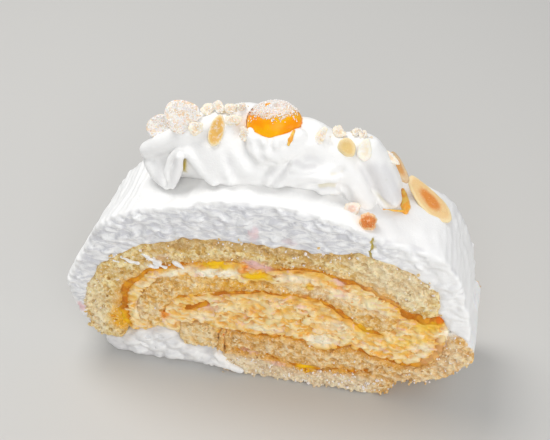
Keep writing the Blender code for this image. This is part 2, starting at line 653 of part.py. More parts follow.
def berry_body(name, grow, home):
    """Plump berry a little wider than tall."""
    shape = bmesh.new()
    axes = Matrix.Diagonal(Vector([(axis + grow) * MM for axis in BERRY_AXES] + [1.0]))
    lean = Matrix.Rotation(math.radians(BERRY_LEAN), 4, "Y")
    place = Matrix.Translation(Vector(BERRY_PLACE) * MM) @ lean @ axes
    bmesh.ops.create_uvsphere(shape, u_segments=BERRY_SEGMENTS, v_segments=BERRY_RINGS, radius=1.0,
                              matrix=place)
    mesh = bpy.data.meshes.new(name)
    shape.to_mesh(mesh)
    shape.free()
    berry = bpy.data.objects.new(name, mesh)
    home.objects.link(berry)
    return berry


def nut_body(name, grow, home):
    """Knobbly chopped nut."""
    shape = bmesh.new()
    bmesh.ops.create_icosphere(shape, subdivisions=2, radius=1.0)
    for vert in shape.verts:
        knob = NUT_KNOBS * noise.noise(vert.co * 1.6 + Vector((4, 2, SEED)))
        size = NUT_RADIUS * (1 + knob) + grow
        vert.co = vert.co * (size * MM) + Vector(NUT_PLACE) * MM
    mesh = bpy.data.meshes.new(name)
    shape.to_mesh(mesh)
    shape.free()
    nut = bpy.data.objects.new(name, mesh)
    home.objects.link(nut)
    return nut


def fuse_flakes(piping, home):
    """Join the small flakes to the piped cream in one union."""
    group = new_collection("small_flakes")
    for i, placing in enumerate(FUSED_FLAKES):
        flake_body("small_flake_%d" % i, placing, 0.0, group)
    step = piping.modifiers.new("fuse", "BOOLEAN")
    step.operation = "UNION"
    step.solver = "EXACT"
    step.operand_type = "COLLECTION"
    step.collection = group
    apply_modifiers(piping)
    drop(*list(group.objects))
    bpy.data.collections.remove(group)


def make_toppings(home, cutters, looks, coat, piping):
    """Berry, roasted nut and almond flakes, each bedded in the cream with a small gap."""
    beds = [berry_body("berry_bed", GAP, cutters), nut_body("nut_bed", GAP, cutters)]
    beds += [flake_body(name + "_bed", placing, GAP, cutters) for name, placing in FLAKES.items()]
    for bed in beds:
        for cream in (coat, piping):
            combine(cream, bed, "DIFFERENCE")
    drop(*beds)
    keep_largest(coat)
    keep_largest(piping)

    berry = berry_body("golden_berry", 0.0, home)
    finish(berry, home, looks["berry"], True)
    nut = nut_body("nut_roasted", 0.0, home)
    finish(nut, home, looks["nut"], True)
    for name, placing in FLAKES.items():
        flake = flake_body(name, placing, 0.0, home)
        finish(flake, home, looks["almond"].copy())


def main():
    clear_objects()
    home = new_collection("rolled_sponge_slice")
    cutters = new_collection("cutters")
    looks = {
        "cream": make_material("whipped_cream", (0.88, 0.87, 0.84), 0.55),
        "sponge": make_material("sponge_crumb", (0.64, 0.43, 0.20), 0.9),
        "mousse": make_material("mango_mousse", (0.75, 0.50, 0.22), 0.6),
        "jam": make_material("orange_jam", (0.60, 0.24, 0.03), 0.3),
        "berry": make_material("berry_skin", (0.90, 0.33, 0.02), 0.35),
        "nut": make_material("roasted_nut", (0.50, 0.16, 0.04), 0.5),
        "almond": make_material("almond_slice", (0.78, 0.58, 0.33), 0.6),
    }
    make_roll(home, cutters, looks)
    coat = make_coat(home, cutters, looks)
    piping = make_piping(home, cutters)
    fuse_flakes(piping, home)
    make_toppings(home, cutters, looks, coat, piping)
    finish(piping, home, looks["cream"].copy(), True)
    finish(coat, home, looks["cream"].copy())


main()
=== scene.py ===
"""Looks for a cut slice of rolled sponge with mango mousse, jam, whipped cream, almonds and a golden berry.

Lengths are in mm in the row frame until a mesh is made: x along the cut face, y in depth, z up.
A layer of the roll starts as an outline in the cut plane, becomes a distance volume with relief, lumps and
pores on both cut faces, and is meshed from that volume. The piped cream is one volume of thick lines that
run into each other. The corners of a mesh keep values, such as "soak" or "cavity", for its material.
"""
import math

import bmesh
import bpy
import numpy as np
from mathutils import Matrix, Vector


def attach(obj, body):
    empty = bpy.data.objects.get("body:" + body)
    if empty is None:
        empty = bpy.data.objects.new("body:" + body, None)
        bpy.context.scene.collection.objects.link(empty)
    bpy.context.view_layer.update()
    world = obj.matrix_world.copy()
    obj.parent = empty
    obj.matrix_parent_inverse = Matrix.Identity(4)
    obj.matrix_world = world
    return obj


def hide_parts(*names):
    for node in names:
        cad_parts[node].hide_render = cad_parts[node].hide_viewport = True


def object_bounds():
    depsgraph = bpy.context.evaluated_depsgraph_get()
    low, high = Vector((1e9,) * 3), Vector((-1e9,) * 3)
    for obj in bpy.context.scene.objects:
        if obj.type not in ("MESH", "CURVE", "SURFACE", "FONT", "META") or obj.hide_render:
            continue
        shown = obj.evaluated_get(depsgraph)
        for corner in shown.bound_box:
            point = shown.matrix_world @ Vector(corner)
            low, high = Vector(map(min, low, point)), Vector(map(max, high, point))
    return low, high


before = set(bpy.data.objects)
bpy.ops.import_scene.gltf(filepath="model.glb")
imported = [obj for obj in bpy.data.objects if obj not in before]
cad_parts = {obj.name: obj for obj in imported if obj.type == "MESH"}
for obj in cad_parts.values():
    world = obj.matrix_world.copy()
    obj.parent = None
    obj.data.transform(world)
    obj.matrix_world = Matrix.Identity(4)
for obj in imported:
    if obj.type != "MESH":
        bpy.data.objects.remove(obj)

import openvdb
from mathutils import Matrix, Vector

MM = 0.001
CAD_BOX = [[v / MM for v in corner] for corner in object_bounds()]

# Sampling: grid step, range of the cut plane, half the slice's depth, room in front of a cut face, and the
# depth behind it that is sampled at the full step.
STEP = 0.33
PLANE_X = (-61.5, 62.0)
PLANE_Z = (-1.2, 68.0)
HALF_DEPTH = 15.0
FACE_ROOM = 0.9
FINE_DEPTH = 1.8
# Cells of the noise lattice, and what the back face adds to a seed.
LATTICE = 64
BACK_SEED = 40
# Half width of the distance band that is meshed, the distance that closes a volume's sides, and the room
# round a stamped lump.
BAND = 1.2
SIDE_CLOSED = 0.3
STAMP_ROOM = 0.9
# Grid step of drops and smears and the room round them, and the space of the piped cream along x, y and z.
STRAND_STEP = 0.18
STRAND_ROOM = 2.4
PIPED_SPACE = ((-41, 39), (-13, 17), (55.5, 85.5))

# Layers: how far each grows under its neighbours, how deep its face sinks at its edge, grid cells that close
# the gaps between layers, and how blunt the ends of a band are.
GROW = 0.7
EDGE_DIP = 0.7
CLOSE_REACH = 4
BLUNT = 0.7

# How far the flanks draw in towards the back, left and right, and where along x that starts and ends.
TAPER_LEFT = 2.4
TAPER_LOW = 0.9
TAPER_HIGH = 2.6
TAPER_FROM = 14.0
TAPER_TO = 51.0

# Comb ridges on the coat's flanks, and the waviness of its smoothed top.
RIDGE_PITCH = 2.4
RIDGE_HEIGHT = 0.42
RIDGES_LEFT = -36.0
RIDGES_RIGHT = 44.0
RIDGE_FADE = 6.0
COAT_SAG = 0.5

# Top of the coat from left to right, and the toe where it meets the roll's right end.
COAT_LINE = [
    (-53.6, 10.4), (-55.6, 14), (-56.8, 18), (-58.3, 22), (-59.0, 26.4), (-57.5, 31), (-55.4, 35.5),
    (-52.8, 41.5), (-49.9, 47), (-44.5, 53.3), (-36, 57.8), (-27, 60.3), (-17, 63.6), (-7, 65.4), (5, 65.6),
    (14, 64.6), (22, 62.6), (31, 59.8), (38, 58.6), (44.5, 57.0), (48.6, 55.2), (51.6, 52.0), (53.7, 48.2),
    (55.0, 44), (56.0, 39), (57.2, 32), (58.2, 26)]
COAT_TOE = [(55.4, 27.6), (52.6, 30.0), (50.0, 33.4)]
# Bands of the cut face: x, z and thickness along each.
BANDS = {
    "outer": [
        (-46.6, 10.2, 10), (-48.2, 14, 11), (-49.3, 20, 9.8), (-47.2, 27, 8.6), (-43.5, 34, 8.8),
        (-37, 39.3, 8), (-29.7, 42.8, 7.5), (-20.2, 45.4, 7.7), (-9, 47.6, 7.4), (2, 47.4, 7),
        (12, 48.2, 6.2), (20, 47.8, 7.6), (26.5, 48, 10), (33, 46, 11), (38.5, 43.3, 11.5), (43.2, 39.6, 11),
        (46.4, 36.6, 7)],
    "outer_jam": [
        (-41.2, 12.6, 1.4), (-42.3, 15.9, 2.4), (-43.3, 20, 2.4), (-42, 27, 2), (-39, 31, 1.7),
        (-33.8, 35.4, 1.5), (-27, 38.4, 1.4), (-18.5, 40.9, 1.4), (-9.8, 43.2, 1.4), (2.2, 42.9, 1.5),
        (12, 44.4, 1.4), (20, 43.3, 1.6), (27, 41.7, 1.7), (32, 39.6, 1.7), (38.2, 34.9, 1.8),
        (41.5, 32.4, 2), (45, 31.2, 2.2), (49, 32.4, 2.2)],
    "inner": [
        (-34.2, 16.4, 7), (-34.2, 21, 8), (-31.6, 27, 7.6), (-26, 31.2, 6.8), (-18, 33.6, 4.8),
        (-8, 35.3, 3.4), (2, 36.1, 2.8), (12, 36.6, 2.8), (19, 35, 3.2), (25, 31.6, 4.4), (31, 29, 6),
        (36, 28.4, 4.4)],
    "inner_jam": [
        (-27, 26.3, 1), (-18, 30.1, 1.2), (-8, 32.7, 1.3), (2, 33.8, 1.4), (12, 34.3, 1.5), (17.5, 32.7, 1.7),
        (22.6, 28.6, 1.8), (28, 25.2, 1.5), (34, 24.5, 1.3)],
    "fleck": [(-24, 22.8, 0.9), (-20.4, 24.6, 1.9), (-16.8, 26.6, 0.9)],
    "streak": [(-6.2, 39.5, 1.1), (-2.5, 39.7, 2.0), (1.8, 39.9, 1.0)],
    "base_jam": [
        (-11, 17.1, 0.8), (0, 17, 0.9), (10, 17.6, 0.9), (14, 16.4, 0.9), (18, 15.8, 1), (24, 17.6, 1),
        (28, 16.7, 1.1), (34, 14.8, 1.3), (41, 14, 1.6), (45, 16, 2), (48.3, 19.4, 2.2), (49.8, 24, 2),
        (50.4, 27, 1.4)],
    "bottom_jam": [
        (-10.5, 9.6, 0.9), (-4, 9.4, 1), (0.3, 8.7, 1), (5, 7.5, 1.3), (11.5, 6.9, 2), (17, 7.2, 1.2),
        (24, 8.2, 1.3), (30.3, 8, 1.5)],
}
# Closed outlines of the cut face: x and z. The core holds all that lies inside the outer jam.
SLABS = {
    "base": [
        (-12, 0), (-12.2, 6), (-11.4, 10.5), (-11.6, 16.2), (-6, 16.2), (0, 16.1), (10, 16.6), (14, 15.4),
        (18, 14.8), (24, 16.6), (28, 15.6), (34, 13.6), (41, 12.6), (46, 14.6), (49.6, 18.4), (51.2, 23.4),
        (52.4, 27.4), (54.5, 27.6), (57, 25), (59, 23.4), (59.6, 19.5), (56.2, 15.6), (51, 11), (47, 8.6),
        (42, 7.2), (39, 6.6), (37.2, 4), (35.5, 1), (33, 0), (29, 0), (-9, 0)],
    "end": [(-24.6, 16.8), (-22, 16.8), (-18, 18), (-15.8, 18), (-14.6, 14), (-14.6, 9.4), (-20, 9),
            (-24.8, 9.8)],
    "foot": [
        (-49.3, 4), (-48.6, 6), (-44.6, 7), (-40.5, 9.6), (-36, 11.9), (-32.8, 12.9), (-30, 13.6),
        (-26.8, 12.2), (-25.4, 9), (-20, 8.2), (-14.6, 8.6), (-12.9, 7), (-12.7, 1.2), (-14, 0), (-17, 0),
        (-40, 0), (-43.6, 0), (-47.3, 1.2)],
    "core": [
        (-41.3, 12), (-43.3, 20), (-41.8, 27), (-36.3, 33.4), (-28, 38), (-18.5, 40.9), (-9.8, 43.2),
        (2.2, 42.9), (12, 44.4), (20.7, 43), (30.2, 40.4), (38.2, 34.9), (44, 31.4), (50, 32.0), (51.6, 29),
        (50.8, 23.6), (49, 19), (45.6, 15.6), (41, 13.4), (34, 14.4), (28, 16.4), (24, 17.4), (18, 15.6),
        (14, 16.2), (10, 17.4), (0, 17), (-11.6, 17.2), (-14, 14.6), (-15.2, 18.4), (-24.8, 17.2),
        (-26.4, 12.9), (-30, 14.6), (-36, 12.8), (-40.5, 10.5)],
}
# Each layer: its own region, then the regions that are cut out of it.
LAYERS = {
    "sponge_outer": ("outer", "outer_jam", "foot"),
    "sponge_inner": ("inner", "foot"),
    "sponge_base": ("base", "bottom_jam"),
    "sponge_end": ("end",),
    "cream_foot": ("foot",),
    "mousse": ("core", "outer", "outer_jam", "inner", "inner_jam", "fleck", "streak", "base_jam", "base",
               "end", "foot"),
    "jam_outer": ("outer_jam", "foot"),
    "jam_inner": ("inner_jam", "inner"),
    "jam_base": ("base_jam", "base"),
    "jam_bottom": ("bottom_jam",),
    "jam_fleck": ("fleck",),
    "jam_streak": ("streak",),
    "cream_coat": ("coat", "outer", "base", "core", "outer_jam"),
}
# How deep each jam line sinks below the cut face and how much it sways; the rest use "other".
JAM_DEPTHS = {"jam_fleck": (0.55, 0.3), "jam_streak": (0.5, 0.3), "jam_bottom": (0.9, 0.6),
              "other": (0.85, 0.7)}

# Folds of the piped cream: thick lines as rows of x, y, z and radius.
CREAM_FOLDS = {
    "heart": [(-33, 3, 63, 5.5), (-26, 3.5, 66, 7), (-16, 3, 68, 8.4), (-4, 3, 68.6, 8.6), (8, 3, 68.2, 8.4),
              (18, 4, 67, 8.0), (25, 5, 64.4, 6.8), (28.6, 5.6, 61.4, 5.0)],
    "crest": [
        (-31, 4, 70, 4), (-24, 3.4, 74.0, 4.2), (-16, 4.9, 76.4, 4.2), (-9, 6.8, 78.2, 4.0),
        (0, 7.5, 75, 4.2), (8.2, 5, 76.6, 3.9), (15.4, 5, 73.0, 4.0), (22.0, 5, 73.8, 4.3),
        (27.0, 5.2, 68.8, 4.0), (30.2, 5.4, 63.6, 3.4)],
    "back": [(-27, 8.4, 64.5, 5), (-14, 9.2, 68, 5.8), (0, 9.6, 69, 5.8), (14, 9.6, 67.4, 5.6),
             (26, 9.0, 63.2, 4.6)],
    "left_ridge": [
        (-36.1, 0.9, 67.1, 2.6), (-32.9, 0.2, 69.5, 3.0), (-29.0, 0.0, 72.2, 3.0), (-24.7, 0.2, 74.7, 3.0),
        (-20.0, 1.2, 76.8, 3.0), (-14.5, 2.8, 78.2, 2.8)],
    "left_fan_a": [(-35.0, -1.0, 63.6, 2.0), (-32.5, -3.0, 61.6, 2.0), (-29.6, -5.6, 60.7, 1.2)],
    "left_fan_b": [(-32.0, -1.1, 63.6, 2.6), (-30.3, -3.5, 62.3, 2.0), (-29.3, -5.6, 60.8, 1.2)],
    "lip": [(-28.8, -6.5, 61.2, 0.9), (-29.1, -5.4, 65.1, 1.0), (-28.2, -4.1, 68.8, 1.1),
            (-25.8, -3.2, 71.2, 1.3), (-22.9, -3.7, 70.7, 1.4), (-20.4, -5.0, 68.3, 1.3),
            (-17.9, -6.4, 66.4, 1.1), (-15.5, -7.4, 65.2, 0.9)],
    "petal_a": [(-23.5, -0.2, 71.4, 2.8), (-19.6, -2.2, 68.4, 3.4), (-15.2, -4.8, 66.6, 3.0)],
    "petal_b": [(-19.4, 0.8, 72.6, 3.6), (-15.6, -1.4, 69.6, 4.6), (-11.6, -4.1, 67.0, 3.8)],
    "petal_c": [
        (-13.0, 2.4, 76.2, 3.8), (-12.6, 0.6, 73.6, 4.4), (-10.2, -1.2, 70.8, 4.9), (-7.2, -3.8, 67.9, 3.9)],
    "collar": [
        (-7.2, -0.6, 77.9, 1.7), (-5.4, -2.8, 78.1, 1.8), (-3.0, -3.6, 77.6, 2.0), (-0.8, -3.8, 77.5, 2.0),
        (1.6, -3.6, 78.4, 2.0), (4.2, -2.2, 78.9, 2.0), (6.3, -0.3, 79.2, 2.0)],
    "curl": [(-7.2, -1.2, 75.4, 2.4), (-4.4, -3.8, 75.3, 2.6), (-0.9, -4.8, 75.0, 2.7),
             (2.4, -4.2, 75.6, 2.5), (5.2, -2.4, 76.4, 2.3)],
    "front_mid": [(-3.0, -1.8, 71.2, 3.8), (-4.0, -4.2, 68.4, 3.6)],
    "front_fold": [(7.6, -1.8, 72.2, 3.4), (4.0, -3.8, 70.0, 3.6), (0.4, -5.6, 68.0, 3.0)],
    "upper_right": [(5.6, 1.8, 75.4, 4.0), (9.6, 1.8, 74.6, 4.6), (14.4, 1.2, 71.8, 4.4)],
    "low_right": [(6.8, -4.0, 69.0, 3.4), (11.0, -3.9, 69.4, 3.8), (15.6, -3.0, 69.4, 3.4)],
    "step": [(13.8, -5.4, 66.9, 1.9), (16.6, -4.9, 66.7, 2.2)],
    "tongue": [
        (17.2, 2.3, 72.8, 4.6), (20.0, 0.7, 69.4, 4.8), (22.4, -0.6, 65.2, 4.6), (24.0, -1.6, 61.8, 4.0)],
    "last_fold": [
        (23.8, 4.0, 73.8, 4.4), (26.8, 3.2, 68.8, 4.6), (29.5, 2.4, 63.8, 4.2), (30.9, 1.8, 60.4, 3.5)],
}
# How softly a fold runs into the others, in mm; the rest keep the sharper blend.
FOLD_BLENDS = {"heart": 2.0, "crest": 2.0, "back": 2.0, "petal_a": 1.6, "petal_b": 1.6, "petal_c": 1.6,
               "collar": 1.8, "curl": 1.4, "front_mid": 1.8, "front_fold": 0.8, "upper_right": 2.0,
               "low_right": 1.2, "step": 1.2, "tongue": 1.2, "last_fold": 0.9}
SHARP_BLEND = 0.5
# Hollow under the lip, and the curled tip that stands in it: rows of x, y, z and radius.
FOLD_HOLLOW = [(-25.0, -6.2, 69.0, 1.5), (-24.8, -7.2, 66.0, 2.4), (-24.8, -8.2, 62.5, 2.8)]
FOLD_LEAF = [
    (-25.5, -5.4, 70.7, 1.2), (-26.1, -5.4, 67.2, 1.5), (-26.9, -5.8, 63.9, 1.3), (-27.7, -6.4, 61.2, 0.8)]
# Soft creases (above 0) and raised lines (below 0) of the piped cream: depth, width, places.
FOLD_LINES = [
    (1.0, 0.9, [
        (-4.1, -4.9, 78.9), (-3.5, -6.1, 77.3), (-2.8, -7.1, 75.8), (-1.1, -7.4, 74.4), (0.7, -7.0, 74.0)]),
    (-0.7, 1.4, [(1.5, -5.8, 71.6), (5.0, -5.4, 72.9), (7.4, -3.1, 74.5), (9.0, -1.7, 77.1)]),
    (1.1, 1.1, [(4.6, -4.9, 73.0), (3.3, -6.5, 71.4), (1.7, -7.8, 69.1), (0.3, -7.7, 66.4)]),
    (0.6, 1.6, [(6.7, -4.8, 73.7), (8.8, -4.7, 72.9), (11.1, -4.0, 72.8)]),
    (0.5, 0.8, [(5.3, -6.8, 71.6), (9.0, -6.7, 71.8), (12.8, -5.6, 72.3)]),
    (0.7, 1.0, [(7.2, -7.3, 67.3), (9.0, -7.9, 68.8), (10.6, -7.9, 69.7), (12.5, -7.7, 70.0)]),
    (1.0, 0.8, [(16.4, -5.0, 72.0), (17.6, -4.1, 71.9), (18.6, -3.6, 72.0)]),
    (1.2, 0.8, [
        (11.4, -7.4, 68.1), (13.3, -6.6, 68.7), (15.4, -6.2, 69.1), (17.5, -5.8, 68.9), (19.2, -4.7, 67.2)]),
    (-0.6, 0.9, [(12.3, -6.9, 69.9), (14.8, -6.2, 70.4), (17.7, -5.6, 70.0)]),
    (1.0, 0.8, [(14.7, -6.1, 64.5), (16.9, -6.6, 65.7), (18.5, -4.6, 63.6)]),
    (0.9, 0.8, [(20.3, -4.7, 66.8), (21.3, -5.0, 63.7), (21.9, -6.9, 62.6)]),
    (-0.5, 1.0, [(22.5, -4.8, 67.2), (24.5, -5.1, 64.3), (27.2, -4.0, 61.9)]),
    (0.8, 1.6, [(23.6, -1.3, 72.1), (25.6, -1.4, 68.5), (27.4, -1.2, 65.2)]),
    (1.2, 0.8, [(27.1, -1.3, 64.9), (29.4, -1.0, 62.3), (31.8, -1.4, 59.9)]),
    (-0.7, 0.8, [(-2.6, -4.1, 79.6), (-2.1, -5.1, 79.0)]),
    (-0.8, 0.9, [(1.2, -4.5, 80.1), (1.2, -5.6, 78.9)]),
    (0.7, 0.7, [(-0.6, -4.5, 79.5), (-0.4, -5.7, 78.5)]),
    (0.7, 0.7, [(2.9, -3.7, 80.5), (3.0, -5.1, 79.2)]),
    (-0.7, 0.8, [(4.4, -3.2, 80.7), (4.6, -4.0, 79.7)]),
    (0.8, 1.4, [(-9.4, -0.4, 78.6), (-8.0, -4.6, 75.6), (-6.4, -6.0, 73.4)]),
    (0.5, 1.6, [(-11.9, -6.1, 72.6), (-10.3, -7.3, 70.3), (-8.8, -8.0, 67.5), (-7.2, -8.5, 65.8)]),
    (0.7, 0.8, [(-32.1, -2.7, 66.2), (-30.7, -4.6, 64.4), (-29.6, -6.4, 62.6), (-29.2, -7.4, 60.8)]),
    (-0.5, 1.4, [(-21.0, -1.6, 73.8), (-16.0, -3.4, 73.4), (-13.0, -5.6, 71.0), (-10.6, -8.6, 67.0)]),
    (0.9, 2.2, [(9.4, -3.6, 74.6), (12.6, -4.0, 74.2), (14.0, -3.6, 75.4)]),
]
# Dabs of cream pushed up round the foot of the berry: x, y, z and radius.
RIM_DABS = [
    (-6.3, -0.6, 79.2, 1.2), (-4.4, -2.0, 78.4, 1.3), (-2.6, -2.5, 77.7, 0.9), (1.5, -2.2, 78.3, 1.2),
    (3.4, -1.4, 79.0, 1.3), (5.0, -0.2, 79.9, 1.0)]
# Painted shade on the piped cream, olive in its hollow and dents, grey on faces that stay in shade: strength,
# reach, places.
FOLD_OLIVE_SHADES = [
    (1.0, 1.1, [(-24.6, -4.3, 69.6), (-24.9, -4.3, 65.6), (-25.2, -4.6, 62.2)]),
    (0.4, 0.8, [(16.4, -5.0, 71.9), (18.6, -3.6, 71.9)]),
    (0.35, 0.8, [(13.3, -6.6, 68.5), (15.4, -6.2, 68.9), (17.5, -5.8, 68.7)]),
    (0.35, 0.8, [(14.7, -6.1, 64.4), (16.9, -6.6, 65.5), (18.5, -4.6, 63.5)]),
    (0.25, 0.8, [(27.1, -1.3, 64.8), (29.4, -1.0, 62.2), (31.8, -1.4, 59.8)]),
]
FOLD_SHADES = [
    (0.8, 3.4, [(26.7, -0.9, 71.6), (29.8, -1.5, 65.8), (31.6, -1.4, 62.6)]),
    (0.8, 3.0, [(29.5, 0.3, 71.2), (31.7, -0.1, 66.8), (33.6, 0.3, 62.4)]),
    (0.35, 2.2, [(-31.9, -2.5, 68.4), (-32.0, -5.4, 62.0)]),
    (0.5, 2.4, [(-25.6, -5.6, 70.0), (-26.6, -6.0, 63.0)]),
]
# Strength of the grey painted shade along the creases of the piped cream.
CREASE_SHADE = 0.65
# How deep the piped cream sits in the coat.
SEAT_DEPTH = 1.2

# Orange drip and glaze: rows of x, y, z and radius.
DRIPS = {
    "drip_berry": [
        (5.0, -0.9, 81.2, 0.4), (4.8, -2.6, 80.9, 0.45), (4.6, -3.9, 80.2, 0.5), (4.3, -4.6, 79.2, 0.4)],
    "glaze_pool": [
        (35.9, -0.2, 58.4, 0.9), (35.6, 1.4, 58.3, 1.4), (35.2, 3.4, 58.4, 1.4), (34.6, 5.6, 58.8, 1.0),
        (34.0, 7.6, 59.4, 0.5)],
    "glaze_thread": [
        (30.0, -2.4, 60.0, 0.3), (31.2, -2.2, 59.9, 0.32), (33.2, -1.6, 59.4, 0.32), (35.4, -0.6, 58.7, 0.4)],
}

# Almond slices: centre, length, width, and turns in degrees about z, x and their own axis.
FLAKES = {
    "almond_round": ((-25.8, 0.4, 80.4), 9.6, 9.0, (8, 58, 20)),
    "almond_side": ((-33.2, 2.4, 74.6), 7.2, 6.2, (-8, 55, 60)),
    "almond_upright": ((-15.9, -1.3, 78.5), 8.8, 4.0, (14, 60, 74)),
    "almond_oval": ((19.2, 0.1, 77.0), 5.4, 4.4, (8, 50, -50)),
    "almond_pale": ((23.9, 0.3, 77.0), 6.2, 3.8, (16, 56, 80)),
    "almond_long": ((41.5, 6.2, 58.2), 16.8, 7.2, (58, 24, -92)),
    "almond_tucked": ((32.2, 7.4, 67.0), 10.6, 5.2, (69, 59, -79)),
    "almond_front": ((22.5, -7.8, 63.2), 4.6, 4.0, (12, 34, 20)),
}
# Colours of each slice: rim, body and heart, then the heart's reach and how much sugar lies on it.
FLAKE_TONES = {
    "almond_round": ((0.80, 0.56, 0.36), (0.88, 0.72, 0.54), (0.86, 0.64, 0.42), 0.3, 0.75),
    "almond_side": ((0.80, 0.60, 0.42), (0.88, 0.75, 0.60), (0.86, 0.70, 0.52), 0.3, 0.8),
    "almond_upright": ((0.90, 0.78, 0.56), (0.87, 0.60, 0.22), (0.80, 0.46, 0.10), 0.55, 0.4),
    "almond_oval": ((0.88, 0.74, 0.46), (0.82, 0.64, 0.34), (0.78, 0.56, 0.22), 0.45, 0.15),
    "almond_pale": ((0.93, 0.88, 0.78), (0.93, 0.88, 0.76), (0.90, 0.80, 0.62), 0.3, 0.45),
    "almond_long": ((0.88, 0.72, 0.44), (0.80, 0.56, 0.27), (0.70, 0.25, 0.04), 0.30, 0.12),
    "almond_tucked": ((0.66, 0.46, 0.26), (0.80, 0.58, 0.34), (0.74, 0.36, 0.10), 0.3, 0.2),
    "almond_front": ((0.82, 0.70, 0.58), (0.90, 0.80, 0.68), (0.86, 0.58, 0.46), 0.3, 0.4),
}
BITS_TONE = ((0.90, 0.79, 0.62), (0.91, 0.82, 0.68), (0.88, 0.70, 0.50), 0.3, 0.5)
SMALL_FLAKES = [
    ((-19.6, 4.2, 80.9), 4.4, 3.2, (20, 40, 30)), ((-16.4, 4.4, 81.7), 4.2, 3.0, (-20, 45, -30)),
    ((-13.4, 4.2, 82.0), 3.8, 2.8, (30, 50, 10)), ((-10.6, 5.0, 82.6), 2.6, 2.2, (50, 40, 0)),
    ((-11.8, 1.2, 80.6), 4.4, 3.0, (10, 52, 8)), ((-8.2, -2.1, 79.1), 4.0, 2.6, (0, 60, 110)),
    ((12.0, 1.0, 79.4), 5.0, 2.6, (12, 55, 60)), ((16.3, 4.7, 78.5), 4.0, 2.8, (0, 45, -28)),
    ((20.7, 5.2, 78.8), 2.8, 2.2, (30, 35, 20)), ((22.8, 4.6, 78.8), 2.6, 2.2, (-30, 50, 40)),
    ((-21.5, -1.7, 78.5), 4.4, 3.4, (0, 55, 30)), ((30.2, 5.4, 71.6), 6.0, 2.4, (20, 50, -42)),
]
# A slice longer than this is a large one. Thickness, and how much narrower the pointed end is.
LARGE_FLAKE = 5
FLAKE_THICK = 1.2
CHIP_THICK = 0.8
POINTED = 0.22
LONG_POINTED = -0.12

BERRY_AXES = (7.6, 6.8, 6.1)
BERRY_PLACE = (-1.3, 4.3, 78.8)
BERRY_SEAT = 6.3
NUT_PLACE = (27.2, -10.8, 62.0)
NUT_RADIUS = 2.5
# Split in the coat's front face: centre, and its width, depth and height.
CRACK_PLACE = (28.9, -15.0, 55.6)
CRACK_SIZE = (0.85, 2.6, 8.6)
# The bare side pores of a sponge sheet end here, where the cream toe starts.
BARE_END = 50.0

# Drooping lobes of mousse, lumps of the cream foot and cream smears in the cut plane: x, z and radius.
MOUSSE_LOBES = [
    (13.0, 16.8, 1.0), (15.2, 16.2, 1.3), (17.6, 16.3, 1.3), (19.8, 16.9, 1.0), (5.0, 17.0, 0.8),
    (-3.0, 17.2, 0.7), (26.0, 17.8, 0.9), (30.5, 16.4, 0.8), (38.5, 14.9, 0.9), (41.0, 15.4, 1.1),
    (43.4, 16.8, 1.2), (45.4, 18.8, 1.2), (47.0, 21.4, 1.1), (-14.5, 18.8, 0.9), (-19.0, 18.9, 0.8)]
FOOT_LOBES = [
    (-36.5, 8.6, 2.2), (-31.0, 10.4, 2.6), (-27.6, 7.4, 2.2), (-33.0, 5.2, 2.4), (-23.4, 5.6, 2.0),
    (-41.0, 5.8, 1.8), (-19.6, 3.6, 1.8), (-28.4, 2.8, 2.0), (-38.6, 2.6, 1.6)]
CREAM_SMEARS = [[(-41.1, 40.0, 0.3), (-38.9, 39.3, 0.5), (-36.8, 38.5, 0.4)],
                [(-35.9, 42.4, 0.4), (-34.4, 42.0, 0.6), (-33.0, 41.2, 0.5), (-29.9, 39.9, 0.4)],
                [(-34.3, 38.5, 0.4), (-32.3, 37.9, 0.5), (-30.6, 37.9, 0.4)],
                [(-25.4, 41.0, 0.4), (-24.2, 40.0, 0.5), (-23.4, 39.2, 0.4)],
                [(-44.0, 38.4, 0.4), (-42.4, 38.0, 0.5)], [(-31.4, 39.4, 0.3), (-28.6, 38.4, 0.4)]]
SMEAR_FRONT = -14.7
SMEAR_THIN = 0.5
# Cream in front of the base, and torn crumb beside the short end: rows of x, y, z and radius.
TOE_CREAM = [
    [(-16.0, -13.9, 2.8, 1.6), (-13.0, -14.1, 3.2, 1.5), (-10.4, -14.5, 2.2, 1.1), (-7.6, -14.7, 1.2, 0.8)],
    [(-15.0, -14.1, 6.4, 1.3), (-13.4, -14.2, 5.0, 1.4), (-12.0, -14.4, 3.6, 1.2)],
]
SEAM_ROWS = [
    (-13.2, 14.1, 9.0, 1.1), (-13.4, 14.1, 12.0, 1.0), (-13.2, 14.2, 15.0, 1.1), (-12.8, 14.3, 16.6, 0.9)]

